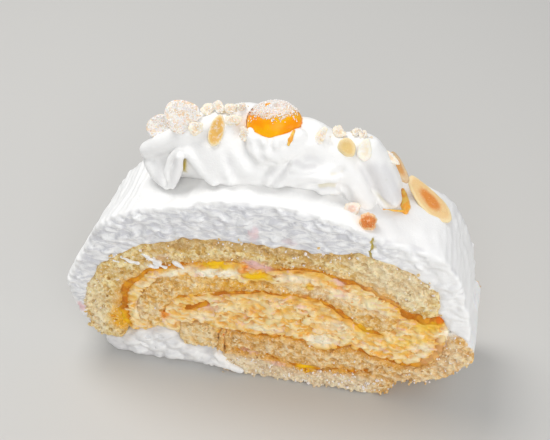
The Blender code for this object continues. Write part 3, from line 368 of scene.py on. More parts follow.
# Stains in the cut plane: x, z, half width, half height, tilt in degrees, strength.
STAINS = {
    "pink": [
        (-3, 55, 1.3, 2.6, -10, 0.55), (-2.2, 43.6, 4.2, 2.0, -8, 1.0), (7.0, 54.0, 2.2, 0.9, 0, 0.3),
        (20.4, 41.6, 2.2, 0.9, -8, 0.8), (-55.6, 17.8, 1.2, 1.6, 30, 0.9), (-16, 24.6, 3.0, 1.4, 15, 0.45),
        (-12, 2.0, 3.5, 1.3, -8, 0.35), (-5, 9.8, 3.0, 0.8, -6, 0.5), (3.0, 6.6, 3.0, 0.8, -6, 0.5),
        (-30, 41.5, 4.0, 1.2, 35, 0.25)],
    "yellow": [
        (-14, 41.6, 5.0, 1.5, 5, 1.0), (-2.2, 39.8, 5.0, 1.5, 2, 1.0), (12, 6.2, 2.4, 1.8, 0, 1.0),
        (-44.2, 15.0, 3.0, 4.4, 12, 0.8), (-8, 35.5, 9.0, 1.3, 5, 0.6), (12.5, 38.8, 1.6, 1.4, 30, 0.8),
        (28, 26.0, 2.6, 2.2, 20, 0.5), (46, 30, 5, 1.6, 15, 0.55), (-20, 31.5, 5, 1.1, 10, 0.5),
        (-38.6, 25.0, 1.2, 1.6, 0, 0.4), (40, 23, 7, 2.4, 20, 0.4)],
    "orange": [
        (-30, 19.5, 1.2, 1.6, 0, 0.9), (-6, 41, 1.5, 1.2, 0, 0.8), (49.5, 33.6, 1.6, 1.1, 20, 1.0),
        (-3.5, 26.5, 1.6, 1.2, 60, 0.45), (22, 39.3, 2.4, 0.8, -12, 0.6), (-13.4, 14.7, 0.8, 2.2, -20, 0.8)],
    "pale": [
        (-26, 36.9, 8.0, 1.4, 28, 0.8), (-14, 38.9, 7.5, 1.6, 8, 1.0), (8, 40.6, 7, 1.6, 3, 0.7),
        (16, 18.8, 4.6, 2.0, 8, 0.9), (22, 38.0, 5, 1.3, -12, 0.6), (-19, 20.4, 5, 1.4, 5, 0.5),
        (30, 33.4, 6.5, 1.3, -20, 0.55), (44, 21.5, 3.4, 1.6, 35, 0.6), (20, 25, 5, 2.4, 10, 0.45),
        (0, 19.6, 6, 1.4, -2, 0.45), (-37.4, 21, 1.3, 5, 4, 0.45), (36, 45, 12, 7, -25, 0.5),
        (18, 36.4, 13, 2.4, -8, 0.45), (51, 19, 7, 6, 30, 0.4), (44, 10, 7, 3, 20, 0.2),
        (-51, 22, 4, 8, 0, 0.4), (-50.5, 14, 2, 7, 10, 0.6), (51.0, 27.5, 2.4, 3.6, -20, 1.0)],
}

# Sponge colours: crumb walls, crumb and pores; the pore colour is also the painted shade in the deeper
# relief.
TONES = {
    "outer": ((0.95, 0.77, 0.39), (0.69, 0.43, 0.12), (0.4, 0.2, 0.04)),
    "inner": ((0.96, 0.7, 0.31), (0.73, 0.4, 0.09), (0.43, 0.2, 0.03)),
    "base": ((0.93, 0.66, 0.31), (0.67, 0.36, 0.09), (0.43, 0.2, 0.04)),
    "end": ((0.94, 0.74, 0.42), (0.8, 0.54, 0.22), (0.56, 0.31, 0.1)),
    "seam": ((0.88, 0.6, 0.26), (0.74, 0.42, 0.12), (0.5, 0.24, 0.05)),
    "crumbs": ((0.9, 0.68, 0.34), (0.8, 0.54, 0.22), (0.54, 0.3, 0.08)),
}

# World strength, floor colour, lamps (place, size, power, colour) and camera.
WORLD_COLOUR = (0.96, 0.98, 1.0, 1.0)
WORLD_STRENGTH = 0.48
FLOOR_COLOUR = (0.60, 0.59, 0.57)
LAMPS = {"top_soft": ((-0.20, 0.12, 0.55), 0.30, 1.65, (1.0, 0.99, 0.97)),
         "front_fill": ((0.14, -0.50, 0.42), 0.4, 1.3, (1.0, 0.99, 0.98)),
         "right_fill": ((0.60, -0.30, 0.10), 0.3, 1.0, (1.0, 0.99, 0.98))}
LAMPS_AIM = (0, 0, 0.03)
CAMERA_PLACE = (0.05824, -0.27064, 0.28117)
CAMERA_TILT = 50
CAMERA_TURN = 12.2
CAMERA_LENS = 84.4


def smooth_line(points, closed=False, step=1.2):
    """Points along a smooth line through the given rows, evenly close to the step."""
    rows = np.asarray(points, float)
    count = len(rows)
    line = []
    for i in range(count if closed else count - 1):
        b, c = rows[i], rows[(i + 1) % count]
        a = rows[i - 1] if closed or i > 0 else 2 * b - c
        d = rows[(i + 2) % count] if closed or i + 2 < count else 2 * c - b
        parts = max(1, int(round(np.linalg.norm((c - b)[:2]) / step)))
        for k in range(parts):
            t = k / parts
            line.append(0.5 * (2 * b + (c - a) * t + (2 * a - 5 * b + 4 * c - d) * t ** 2
                               + (3 * b - a - 3 * c + d) * t ** 3))
    if not closed:
        line.append(rows[-1])
    return np.array(line)


def band_outline(rows):
    """Closed outline of a band of varying thickness with blunt round ends."""
    line = smooth_line(rows)
    slope = np.gradient(line[:, :2], axis=0)
    slope /= np.linalg.norm(slope, axis=1)[:, None]
    normal = np.stack([-slope[:, 1], slope[:, 0]], axis=1)
    half = line[:, 2:3] / 2
    start = line[0, :2] - slope[0] * half[0] * BLUNT
    end = line[-1, :2] + slope[-1] * half[-1] * BLUNT
    return np.vstack([start, line[:, :2] + normal * half, end, (line[:, :2] - normal * half)[::-1]])


def grain(u, v, seed):
    """Smooth gradient noise over two coordinates, about -1 to 1."""
    turn = np.random.default_rng(seed).uniform(0, 2 * math.pi, (LATTICE, LATTICE))
    gx, gy = np.cos(turn), np.sin(turn)
    iu, iv = np.floor(u).astype(int), np.floor(v).astype(int)
    fu, fv = u - iu, v - iv
    su, sv = (f * f * f * (f * (f * 6 - 15) + 10) for f in (fu, fv))

    def corner(a, b):
        ka, kb = (iu + a) % LATTICE, (iv + b) % LATTICE
        return gx[ka, kb] * (fu - a) + gy[ka, kb] * (fv - b)

    low = corner(0, 0) * (1 - su) + corner(1, 0) * su
    high = corner(0, 1) * (1 - su) + corner(1, 1) * su
    return 1.6 * (low * (1 - sv) + high * sv)


def spline_weights(places, size):
    """Matrix of cubic spline weights that spreads random values of one spacing over the places."""
    t = (places - places[0]) / size
    cell = np.floor(t).astype(int)
    f = t - cell
    weights = np.zeros((len(places), cell[-1] + 4), np.float32)
    parts = ((1 - f) ** 3, 3 * f ** 3 - 6 * f ** 2 + 4, -3 * f ** 3 + 3 * f ** 2 + 3 * f + 1, f ** 3)
    for k, part in enumerate(parts):
        weights[np.arange(len(places)), cell + k] = part / 6
    return weights


def volume_noise(axes, sizes, seed):
    """Smooth random volume, about -1 to 1, with its own grain size along each axis."""
    wx, wy, wz = (spline_weights(places, size) for places, size in zip(axes, sizes))
    rng = np.random.default_rng(seed)
    seedlings = rng.uniform(-2.6, 2.6, (wx.shape[1], wy.shape[1], wz.shape[1])).astype(np.float32)
    out = np.tensordot(wx, seedlings, (1, 0))
    out = np.einsum("ijk,lj->ilk", out, wy, optimize=True)
    return out @ wz.T


def noise_sum(axes, *rows):
    """Random volumes added up: strength, grain sizes along the axes, seed."""
    return sum(strength * volume_noise(axes, sizes, seed) for strength, sizes, seed in rows)


def smooth_max(a, b, blend):
    return np.maximum(a, b) + np.maximum(blend - np.abs(a - b), 0) ** 2 / (4 * blend)


def smooth_min(a, b, blend):
    return np.minimum(a, b) - np.maximum(blend - np.abs(a - b), 0) ** 2 / (4 * blend)


def smooth_step(value, low, high):
    t = np.clip((value - low) / (high - low), 0, 1)
    return t * t * (3 - 2 * t)


def depth_levels(middle):
    """Depths of the sample planes: close at the cut faces, wider apart in the middle."""
    at = HALF_DEPTH + FACE_ROOM
    levels = []
    while at > 0.3:
        levels.append(at)
        inset = HALF_DEPTH - at
        at -= STEP if inset < FINE_DEPTH else min(middle, STEP + (inset - FINE_DEPTH) * 0.5)
    levels = np.array(levels)
    return np.concatenate([-levels, [0.0], levels[::-1]])


XS = np.arange(*PLANE_X, STEP)
ZS = np.arange(*PLANE_Z, STEP)
GX, GZ = np.meshgrid(XS, ZS, indexing="ij")


class Slab:
    """Sample planes through the slice, with the drift and roughness that all its layers share."""

    def __init__(self, middle):
        self.ys = depth_levels(middle)
        axes = (XS, self.ys, ZS)
        self.warp_x = noise_sum(axes, (0.55, (9, 10, 9), 1), (0.42, (2.0, 2.4, 2.0), 2))
        self.warp_z = noise_sum(axes, (0.40, (9, 10, 9), 3), (0.42, (2.0, 2.4, 1.8), 4))
        self.warp_z *= smooth_step(ZS, 0.4, 3.0).astype(np.float32)
        self.rough = volume_noise(axes, (1.1, 1.0, 0.9), 5)
        self.fine = volume_noise(axes, (0.7, 0.8, 0.6), 6)


# Layers that show on the outside of the slice are sampled more closely through the depth.
HIDDEN = Slab(2.6)
SHOWN = Slab(1.0)


def outline_distance(points):
    """Signed distance from a closed outline over the cut plane, negative inside."""
    best = np.full(GX.shape, 1e9)
    inside = np.zeros(GX.shape, bool)
    for (ax, az), (bx, bz) in zip(points, np.roll(points, -1, axis=0)):
        ex, ez = bx - ax, bz - az
        t = np.clip(((GX - ax) * ex + (GZ - az) * ez) / (ex * ex + ez * ez + 1e-9), 0, 1)
        best = np.minimum(best, (GX - ax - t * ex) ** 2 + (GZ - az - t * ez) ** 2)
        if az != bz:
            inside ^= ((az > GZ) != (bz > GZ)) & (GX < ex * (GZ - az) / ez + ax)
    return (np.sqrt(best) * np.where(inside, -1, 1)).astype(np.float32)


def line_run(line):
    """Distance from an open line and the run along it at the nearest point."""
    best = np.full(GX.shape, 1e9)
    run = np.zeros(GX.shape)
    start = 0.0
    for (ax, az), (bx, bz) in zip(line, line[1:]):
        ex, ez = bx - ax, bz - az
        length = math.hypot(ex, ez)
        t = np.clip(((GX - ax) * ex + (GZ - az) * ez) / (length * length), 0, 1)
        far = (GX - ax - t * ex) ** 2 + (GZ - az - t * ez) ** 2
        closer = far < best
        best = np.where(closer, far, best)
        run = np.where(closer, start + t * length, run)
        start += length
    return np.sqrt(best).astype(np.float32), run.astype(np.float32), start


def without(flat, *others):
    """Cut other regions out of a region."""
    return np.maximum.reduce([flat] + [-other for other in others])


def look_up(flat, x, z):
    """Value of a flat map at any places."""
    u = np.clip((x - XS[0]) / STEP, 0, len(XS) - 1.001)
    v = np.clip((z - ZS[0]) / STEP, 0, len(ZS) - 1.001)
    iu, iv = u.astype(np.int32), v.astype(np.int32)
    fu, fv = u - iu, v - iv
    at = iu * len(ZS) + iv
    cells = flat.ravel()
    low = cells[at] * (1 - fv) + cells[at + 1] * fv
    high = cells[at + len(ZS)] * (1 - fv) + cells[at + len(ZS) + 1] * fv
    return low * (1 - fu) + high * fu


def spots(x, z, rows, seed=0):
    """Strength of a set of stains at any places of the cut plane."""
    jx, jz = (at + 0.7 * grain(x / 1.7, z / 1.7, n + seed) + 0.35 * grain(x / 0.7, z / 0.7, n + 1 + seed)
              for at, n in ((x, 70), (z, 72)))
    total = np.zeros(np.shape(x))
    for cx, cz, wide, high, tilt, strength in rows:
        c, s = math.cos(math.radians(tilt)), math.sin(math.radians(tilt))
        u = ((jx - cx) * c + (jz - cz) * s) / wide
        v = (-(jx - cx) * s + (jz - cz) * c) / high
        total = np.maximum(total, strength * smooth_step(1.35 - np.sqrt(u * u + v * v), 0, 0.8))
    return total


def window_of(flat, margin=1.3):
    """Ranges of the grid that hold a region and what it grows by."""
    margin += GROW
    xs = np.nonzero((flat < margin).any(axis=1))[0]
    zs = np.nonzero((flat < margin).any(axis=0))[0]
    return slice(xs[0], xs[-1] + 1), slice(zs[0], zs[-1] + 1)


def slab_volume(slab, flat, window, relief, rough, rounding):
    """Distance volume of one layer of the slice with relief on both cut faces."""
    wx, wz = window
    x = XS[wx][:, None, None] + slab.warp_x[wx, :, wz]
    z = ZS[wz][None, None, :] + slab.warp_z[wx, :, wz]
    side = look_up(flat, x, z)
    dip = EDGE_DIP * smooth_step(side, -GROW, GROW)
    side = np.maximum(side - GROW, look_up(WHOLE, x, z))
    front, back = (part.astype(np.float32)[:, None, :] for part in relief)
    ys = slab.ys[None, :, None]
    face = np.abs(ys) - HALF_DEPTH + np.where(ys < 0, front, back)
    face = face + dip + rough[0] * slab.rough[wx, :, wz] + rough[1] * slab.fine[wx, :, wz]
    body = smooth_max(side, face, rounding)
    return np.maximum(body, -ZS[wz][None, None, :]).astype(np.float32)


def soften(volume):
    """Blur a volume slightly along each axis."""
    for axis in range(3):
        near = np.roll(volume, 1, axis) + np.roll(volume, -1, axis)
        volume = (0.5 * volume + 0.25 * near).astype(np.float32)
    return volume


def stamp(volume, axes, places, sizes, carve, stretch=(1, 1, 1), tilt=0.0):
    """Add or carve round lumps at the given places of a distance volume."""
    cos, sin = math.cos(tilt), math.sin(tilt)
    for centre, size in zip(places, sizes):
        spans = []
        for axis, middle, share in zip(axes, centre, stretch):
            reach = size * share + STAMP_ROOM
            spans.append(slice(*np.searchsorted(axis, (middle - reach, middle + reach))))
        dx, dy, dz = (axis[span] - middle for axis, span, middle in zip(axes, spans, centre))
        if not (len(dx) and len(dy) and len(dz)):
            continue
        dx, dz = dx[:, None, None], dz[None, None, :]
        u = (dx * cos + dz * sin) / stretch[0]
        v = (dy / stretch[1])[None, :, None]
        w = (dz * cos - dx * sin) / stretch[2]
        lump = (np.sqrt(u * u + v * v + w * w) - size).astype(np.float32)
        part = volume[tuple(spans)]
        if carve:
            np.maximum(part, -lump, out=part)
        else:
            np.minimum(part, lump, out=part)


def skin(name, volume, axes, adaptivity):
    """Mesh object of a distance volume, closed at the sides of the volume."""
    volume = np.clip(volume, -BAND, BAND)
    for axis in range(3):
        edge = [slice(None)] * 3
        for end in (0, -1):
            edge[axis] = end
            volume[tuple(edge)] = np.maximum(volume[tuple(edge)], SIDE_CLOSED)
    grid = openvdb.FloatGrid(BAND)
    grid.copyFromArray(np.ascontiguousarray(volume, dtype=np.float32))
    points, triangles, quads = grid.convertToPolygons(isovalue=0.0, adaptivity=adaptivity)
    places = [np.interp(points[:, k], np.arange(len(axes[k])), axes[k]) for k in range(3)]
    return mesh_object(name, np.stack(places, axis=1), triangles, quads)


def tapered(piece):
    """Draw both sides of a layer in a little towards the back."""
    x, y, z = places_of(piece).T
    right = TAPER_LOW + (TAPER_HIGH - TAPER_LOW) * smooth_step(z, 36, 53)
    right = right * smooth_step(x, TAPER_FROM, TAPER_TO)
    left = TAPER_LEFT * smooth_step(z, 20, 42) * smooth_step(-x, TAPER_FROM, TAPER_TO)
    shift = (right - left) * (y + HALF_DEPTH) / (2 * HALF_DEPTH)
    places = np.stack([x - shift, y, z], axis=1)
    piece.data.vertices.foreach_set("co", (places * MM).astype(np.float32).ravel())
    piece.data.update()


def link(name, data):
    """Object in the scene."""
    piece = bpy.data.objects.new(name, data)
    bpy.context.scene.collection.objects.link(piece)
    return piece


def mesh_object(name, places, triangles, quads=None):
    """Mesh object from arrays in mm, faces turned outwards, kept inside the box of the solid."""
    places = np.clip(places, CAD_BOX[0], CAD_BOX[1])
    faces = [(triangles, 3)] + ([(quads, 4)] if quads is not None else [])
    volume = 0.0
    for group, corners in faces:
        if len(group):
            a, b, c = places[group[:, 0]], places[group[:, 1]], places[group[:, 2]]
            volume += np.einsum("ij,ij->", a, np.cross(b, c))
            if corners == 4:
                d = places[group[:, 3]]
                volume += np.einsum("ij,ij->", a, np.cross(c, d))
    mesh = bpy.data.meshes.new(name)
    mesh.vertices.add(len(places))
    mesh.vertices.foreach_set("co", (places * MM).astype(np.float32).ravel())
    sizes = np.concatenate([np.full(len(group), corners) for group, corners in faces]).astype(np.int32)
    order = 1 if volume > 0 else -1
    loops = np.concatenate([group[:, ::order].ravel() for group, corners in faces]).astype(np.int32)
    mesh.loops.add(len(loops))
    mesh.loops.foreach_set("vertex_index", loops)
    mesh.polygons.add(len(sizes))
    mesh.polygons.foreach_set("loop_start", np.concatenate([[0], np.cumsum(sizes)[:-1]]).astype(np.int32))
    mesh.update(calc_edges=True)
    mesh.validate()
    mesh.polygons.foreach_set("use_smooth", np.ones(len(mesh.polygons), bool))
    return link(name, mesh)


def places_of(piece):
    """Corner places of a piece in mm."""
    places = np.empty(len(piece.data.vertices) * 3, np.float32)
    piece.data.vertices.foreach_get("co", places)
    return places.reshape(-1, 3).astype(float) / MM


def paint(piece, values):
    """Keep numbers at each corner of a piece, by name, for its material."""
    for name, numbers in values.items():
        layer = piece.data.attributes.new(name, "FLOAT", "POINT")
        layer.data.foreach_set("value", np.asarray(numbers, np.float32))


def settle(piece, look, slot, *nodes):
    """Give a piece its material and body, and hide the solids that it stands for; the slot is not used."""
    piece.data.materials.append(look)
    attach(piece, "root")
    if nodes:
        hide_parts(*nodes)
    return piece


class Look:
    """One procedural material, built from noise sized in mm and from the pieces' own values."""

    def __init__(self, name):
        self.material = bpy.data.materials.new(name)
        self.material.use_nodes = True
        self.tree = self.material.node_tree
        self.place = self.node("TexCoord", {}, "Object")

    def put(self, socket, value):
        if isinstance(value, bpy.types.NodeSocket):
            self.tree.links.new(value, socket)
        elif socket.type == "RGBA":
            socket.default_value = (*value, 1.0)
        else:
            socket.default_value = value

    def node(self, kind, inputs, output=0, **traits):
        """Add a node with its traits and inputs, and give one of its outputs."""
        node = self.tree.nodes.new("ShaderNode" + kind)
        for name, value in traits.items():
            setattr(node, name, value)
        for socket, value in inputs.items():
            self.put(node.inputs[socket], value)
        return node.outputs[output]

    def noise(self, size, detail=3.0, stretch=(1, 1, 1), turn=0.0, shift=0.0, twist=0.0):
        scale = [1 / MM / (size * s) for s in stretch]
        place = self.node("Mapping", {"Vector": self.place, "Location": (shift, shift * 0.7, shift * 1.3),
                                      "Rotation": (0, turn, 0), "Scale": scale}, "Vector")
        return self.node("TexNoise", {"Vector": place, "Scale": 1.0, "Detail": detail, "Roughness": 0.55,
                                      "Distortion": twist}, "Fac")

    def value(self, name):
        return self.node("Attribute", {}, "Fac", attribute_name=name)

    def math(self, operation, a, b):
        return self.node("Math", {0: a, 1: b}, operation=operation)

    def add(self, a, b, share):
        """One value and a share of another."""
        return self.math("ADD", a, self.math("MULTIPLY", b, share))

    def span(self, value, low, high, out_low=0.0, out_high=1.0):
        return self.node("MapRange", {"Value": value, "From Min": low, "From Max": high, "To Min": out_low,
                                      "To Max": out_high}, "Result", interpolation_type="SMOOTHSTEP")

    def mix(self, amount, a, b):
        return self.node("Mix", {0: amount, 6: a, 7: b}, 2, data_type="RGBA")

    def layers(self, colour, *rows):
        """Lay colours over one another: an amount or the name of a value, the colour, perhaps a strength."""
        for amount, over, *strength in rows:
            amount = self.value(amount) if isinstance(amount, str) else amount
            amount = self.math("MULTIPLY", amount, *strength) if strength else amount
            colour = self.mix(amount, colour, over)
        return colour

    def bump(self, height, distance):
        return self.node("Bump", {"Distance": distance * MM, "Height": height}, "Normal")

    def finish(self, colour, rough, normal=None, glow=0.0, glow_colour=(1, 1, 1), reach=1.5, specular=0.5):
        """Set the shader: colour, gloss, relief and the light that passes under the surface."""
        values = {"Base Color": colour, "Roughness": rough, "Subsurface Weight": glow,
                  "Subsurface Radius": glow_colour, "Subsurface Scale": reach * MM,
                  "Specular IOR Level": specular}
        if normal is not None:
            values["Normal"] = normal
        for name, value in values.items():
            self.put(self.tree.nodes["Principled BSDF"].inputs[name], value)
        return self.material


def cream_look(name, warm=0.0):
    """Whipped cream: bright where smoothed, torn where cut, greyed by painted shade on cut faces, creases and
    hollows.
    """
    look = Look(name)
    cloud = look.span(look.noise(6.0, 3.0), 0.35, 0.65)
    fine = look.noise(0.5, 4.0)
    drag = look.noise(1.5, 4.0, (2.6, 2.0, 1.0), 0.17, twist=1.1)
    # Painted shade for the cut faces: greys them in drag streaks.
    torn = look.mix(look.span(drag, 0.38, 0.62), (0.69, 0.69, 0.72), (0.92, 0.92, 0.92))
    colour = look.layers(
        look.mix(cloud, (0.93, 0.925, 0.915), (0.95, 0.945, 0.935)),
        ("cut", torn),
        # Painted shade in creases, hollows and the deeper relief.
        ("painted_shade", (0.60, 0.59, 0.61), 0.6),
        (warm, (0.90, 0.86, 0.80)),
        # Dark olive: the sponge showing in the coat's split, and painted shade in the piped cream's hollow
        # and dents.
        ("soak_and_shade", (0.60, 0.47, 0.08)),
        ("pink", (0.84, 0.56, 0.58)))
    height = look.add(look.math("MULTIPLY", drag, look.value("cut")), fine, 0.5)
    return look.finish(colour, 0.55, look.bump(height, 0.25), 0.1, (1.0, 0.95, 0.9), 0.5)


def sponge_look(name, tone):
    """Open crumb: pale walls, browner pores, baked skin, jam soaked in by the jam lines; painted highlight
    and shade.
    """
    light, mid, dark = tone
    look = Look(name)
    crumb = look.noise(1.7, 5.0, (1.2, 1.0, 0.9), twist=0.5)
    patch = look.span(look.noise(4.2, 3.0, (1.5, 1.0, 0.8), shift=3.0, twist=0.6), 0.42, 0.58)
    fine = look.noise(0.6, 3.0, shift=8.0)
    colour = look.layers(
        look.mix(look.span(crumb, 0.43, 0.57), mid, light),
        (patch, mid, 0.4),
        ("pale", (0.85, 0.77, 0.61), 0.8),
        # Painted highlight on the relief tips nearest the cut face.
        ("tip", (0.99, 0.90, 0.66), 0.45),
        ("crust", (0.62, 0.39, 0.15)),
        ("soak_and_shade", (0.78, 0.37, 0.04)),
        ("yellow", (0.88, 0.45, 0.012)),
        ("orange", (0.84, 0.24, 0.01)),
        (look.span(fine, 0.54, 0.70, 0.0, 0.55), (0.98, 0.88, 0.66)),
        (look.span(fine, 0.44, 0.32, 0.0, 0.4), dark),
        # Painted shade in the deeper relief, in the pore colour.
        ("painted_shade", dark, 0.6),
        ("pink", (0.87, 0.56, 0.52)),
        ("creamed", (0.93, 0.925, 0.91)))
    height = look.add(crumb, fine, 0.6)
    return look.finish(colour, 0.85, look.bump(height, 0.35), 0.12, (1.0, 0.6, 0.3), 0.7, 0.3)


def mousse_look(name):
    """Torn mousse: mango yellow, cream-pale streaks, blotches of jam and berry; painted highlight on ridges,
    painted shade in hollows.
    """
    look = Look(name)
    streak = look.noise(2.0, 4.0, (3.0, 1.4, 0.8), 0.1, twist=0.9)
    cloud = look.noise(5.0, 3.0, (1.7, 1.0, 0.9), shift=5.0, twist=0.8)
    strip = look.noise(3.2, 3.0, (2.6, 1.2, 0.7), 0.12, shift=31.0, twist=0.7)
    fleck = look.noise(2.3, 3.0, (1.4, 1.0, 0.8), -0.3, shift=21.0, twist=0.5)
    fine = look.noise(0.45, 3.0, shift=2.0)
    colour = look.layers(
        look.mix(look.span(cloud, 0.41, 0.58), (0.95, 0.72, 0.32), (0.94, 0.56, 0.12)),
        (look.span(streak, 0.53, 0.63, 0.0, 0.6), (0.97, 0.81, 0.47)),
        (look.span(streak, 0.46, 0.36, 0.0, 0.7), (0.90, 0.47, 0.07)),
        (look.span(strip, 0.55, 0.62, 0.0, 0.55), (0.98, 0.83, 0.56)),
        (look.span(strip, 0.42, 0.36, 0.0, 0.45), (0.86, 0.50, 0.14)),
        # Painted highlight on the relief tips, and orange painted shade in the deeper relief.
        ("tip", (1.0, 0.91, 0.64), 0.4),
        ("painted_shade", (0.76, 0.33, 0.04), 0.8),
        ("pale", (1.0, 0.91, 0.72)),
        ("soak_and_shade", (0.92, 0.50, 0.05)),
        ("yellow", (0.96, 0.60, 0.02)),
        (look.span(fleck, 0.59, 0.67, 0.0, 0.6), (0.93, 0.64, 0.56)),
        (look.span(fleck, 0.36, 0.30, 0.0, 0.8), (0.90, 0.36, 0.03)),
        ("orange", (0.88, 0.28, 0.01)),
        ("pink", (0.88, 0.57, 0.50)))
    height = look.add(streak, fine, 0.5)
    return look.finish(colour, 0.5, look.bump(height, 0.3), 0.15, (1.0, 0.6, 0.3), 0.8, 0.35)


def jam_look(name):
    """Wet jam, orange to amber, with painted shade where it sinks deeper below the cut face."""
    look = Look(name)
    patch = look.noise(3.5, 3.0, twist=0.5)
    fine = look.noise(0.6, 3.0, shift=4.0)
    colour = look.layers(
        look.mix(look.span(patch, 0.42, 0.58), (0.56, 0.18, 0.01), (0.78, 0.34, 0.02)),
        (look.span(fine, 0.56, 0.72, 0.0, 0.5), (0.88, 0.46, 0.05)),
        # Painted shade in the deeper relief.
        ("painted_shade", (0.50, 0.15, 0.01), 0.5),
        ("yellow", (0.98, 0.60, 0.01)),
        ("orange", (0.86, 0.23, 0.01)),
        ("pale", (0.94, 0.72, 0.38)),
        ("pink", (0.87, 0.54, 0.46)))
    return look.finish(colour, 0.45, look.bump(fine, 0.15), 0.2, (1.0, 0.4, 0.1), 0.9, 0.22)


def both_faces(rule):
    """Relief of the front and the back face over a window, from one rule and two sets of seeds."""
    return lambda window: [rule(GX[window], GZ[window], s) for s in (0, BACK_SEED)]


@both_faces
def sponge_relief(x, z, s):
    return 0.50 + 0.34 * grain(x / 4.5, z / 3.0, 10 + s) + 0.48 * grain(x / 1.8, z / 1.4, 11 + s)


@both_faces
def mousse_relief(x, z, s):
    bend = 1.6 * grain(x / 9, z / 5, 12 + s)
    tear = np.abs(grain(x / 4.6, (z + bend) / 1.7, 13 + s))
    pull = grain((x + z) / 2.4, (z + bend) / 1.0, 14 + s)
    flake = smooth_step(grain(x / 3.6, (z + 0.6 * bend) / 1.9, 47 + s), -0.06, 0.06)
    fine = grain((x + z) / 1.1, z / 0.7, 48 + s)
    broad = grain(x / 6, z / 4, 15 + s)
    return 0.55 + 0.55 * (0.35 - tear) + 0.26 * pull + 0.30 * broad + 0.45 * flake + 0.16 * fine


@both_faces
def cream_relief(x, z, s):
    u = x + 2.2 * grain(x / 7.0, z / 6.0, 61 + s)
    v = z + 2.4 * grain(x / 8.0, z / 5.0, 62 + s) - 0.12 * x
    drag = grain(u / 4.0, v / 1.4, 16 + s)
    lump = grain(u / 3.4, v / 2.6, 17 + s)
    ridge = np.abs(grain(u / 6.0, v / 2.4, 19 + s))
    fine = grain(u / 1.3, v / 1.1, 18 + s)
    return 0.62 + 0.24 * drag + 0.44 * lump + 0.14 * fine - 0.9 * (ridge - 0.25)


def closed_outline(flats):
    """Outline of the whole slice in the cut plane with the gaps between layers filled."""
    def spread(field, pick):
        out = field
        for dx in range(-CLOSE_REACH, CLOSE_REACH + 1):
            for dz in range(-CLOSE_REACH, CLOSE_REACH + 1):
                if dx * dx + dz * dz <= CLOSE_REACH ** 2 + 1:
                    out = pick(out, np.roll(np.roll(field, dx, 0), dz, 1))
        return out

    return spread(spread(np.minimum.reduce(list(flats.values())), np.minimum), np.maximum)


def regions():
    """Flat distance of each layer in the cut plane, and of the whole slice."""
    part = {name: outline_distance(band_outline(rows)) for name, rows in BANDS.items()}
    part.update({name: outline_distance(smooth_line(rows, True)) for name, rows in SLABS.items()})
    under_coat = smooth_line(BANDS["outer"])[::-1, :2]
    part["coat"] = outline_distance(np.vstack([smooth_line(COAT_LINE), COAT_TOE, under_coat]))
    flats = {name: without(*(part[key] for key in keys)) for name, keys in LAYERS.items()}
    return flats, closed_outline(flats)


FLAT, WHOLE = regions()
JAM_NEAR, SPONGE_NEAR = (np.minimum.reduce([FLAT[name] for name in FLAT if name.startswith(kind)])
                         for kind in ("jam", "sponge"))


def section_values(piece, jam_reach, mean_depth):
    """Places of a layer's corners, and the stains, soaked jam, painted shade in hollows and painted
    highlights on tips there.
    """
    x, y, z = places_of(piece).T
    depth = HALF_DEPTH - np.abs(y)
    near_face = smooth_step(depth, 3.5, 2.0) * smooth_step(look_up(WHOLE, x, z), -0.2, -0.9)
    jitter = 0.5 * grain(x / 1.3, z / 1.1, 30) + 0.5 * grain(x / 3.5, z / 3.0, 31)
    jam = look_up(JAM_NEAR, x, z) + 0.5 * jitter * jam_reach
    amount = 0.62 + 0.55 * grain(x / 6.5, z / 5.0, 33)
    soaked = smooth_step(jam, jam_reach, -0.4) * np.clip(amount, 0.15, 1.0)
    baked = smooth_step(look_up(FLAT["cream_coat"], x, z) + 0.9 * jitter, 3.4, 0.8)
    baked = baked * smooth_step(x, -38, -26) * smooth_step(x, 30, 14)
    side = smooth_step(look_up(WHOLE, x, z), -1.4, -0.5) * smooth_step(depth + 0.5 * jitter, 0.8, 1.8)
    values = {
        "soak_and_shade": soaked if jam_reach else np.zeros(len(x)),
        # Painted shade: darker where the relief sinks deeper than its mean depth.
        "painted_shade": smooth_step(depth, mean_depth + 0.1, mean_depth + 0.8) * near_face,
        # Painted highlight: lighter where the relief stands nearest the cut face.
        "tip": smooth_step(depth, mean_depth, mean_depth - 0.5) * near_face,
        "crust": baked * np.clip(0.75 + 0.7 * grain(x / 3.0, z / 2.2, 44), 0, 1.0),
        "creamed": side * smooth_step(np.abs(x), 47, 51) * smooth_step(z + 1.5 * jitter, 4, 7),
    }
    for n, (name, rows) in enumerate(STAINS.items()):
        values[name] = spots(x, z, rows, 1 + 4 * n)
    if piece.name.startswith("sponge_base"):
        sheet = smooth_step(8.0 - z + 0.6 * jitter, 0, 1.2) * smooth_step(34 - x, 0, 5)
        sheet = 0.7 * sheet * smooth_step(look_up(FLAT["jam_bottom"], x, z), 0.3, 1.0)
        values["pale"] = np.maximum(values["pale"], sheet)
    return x, y, z, depth, near_face, values


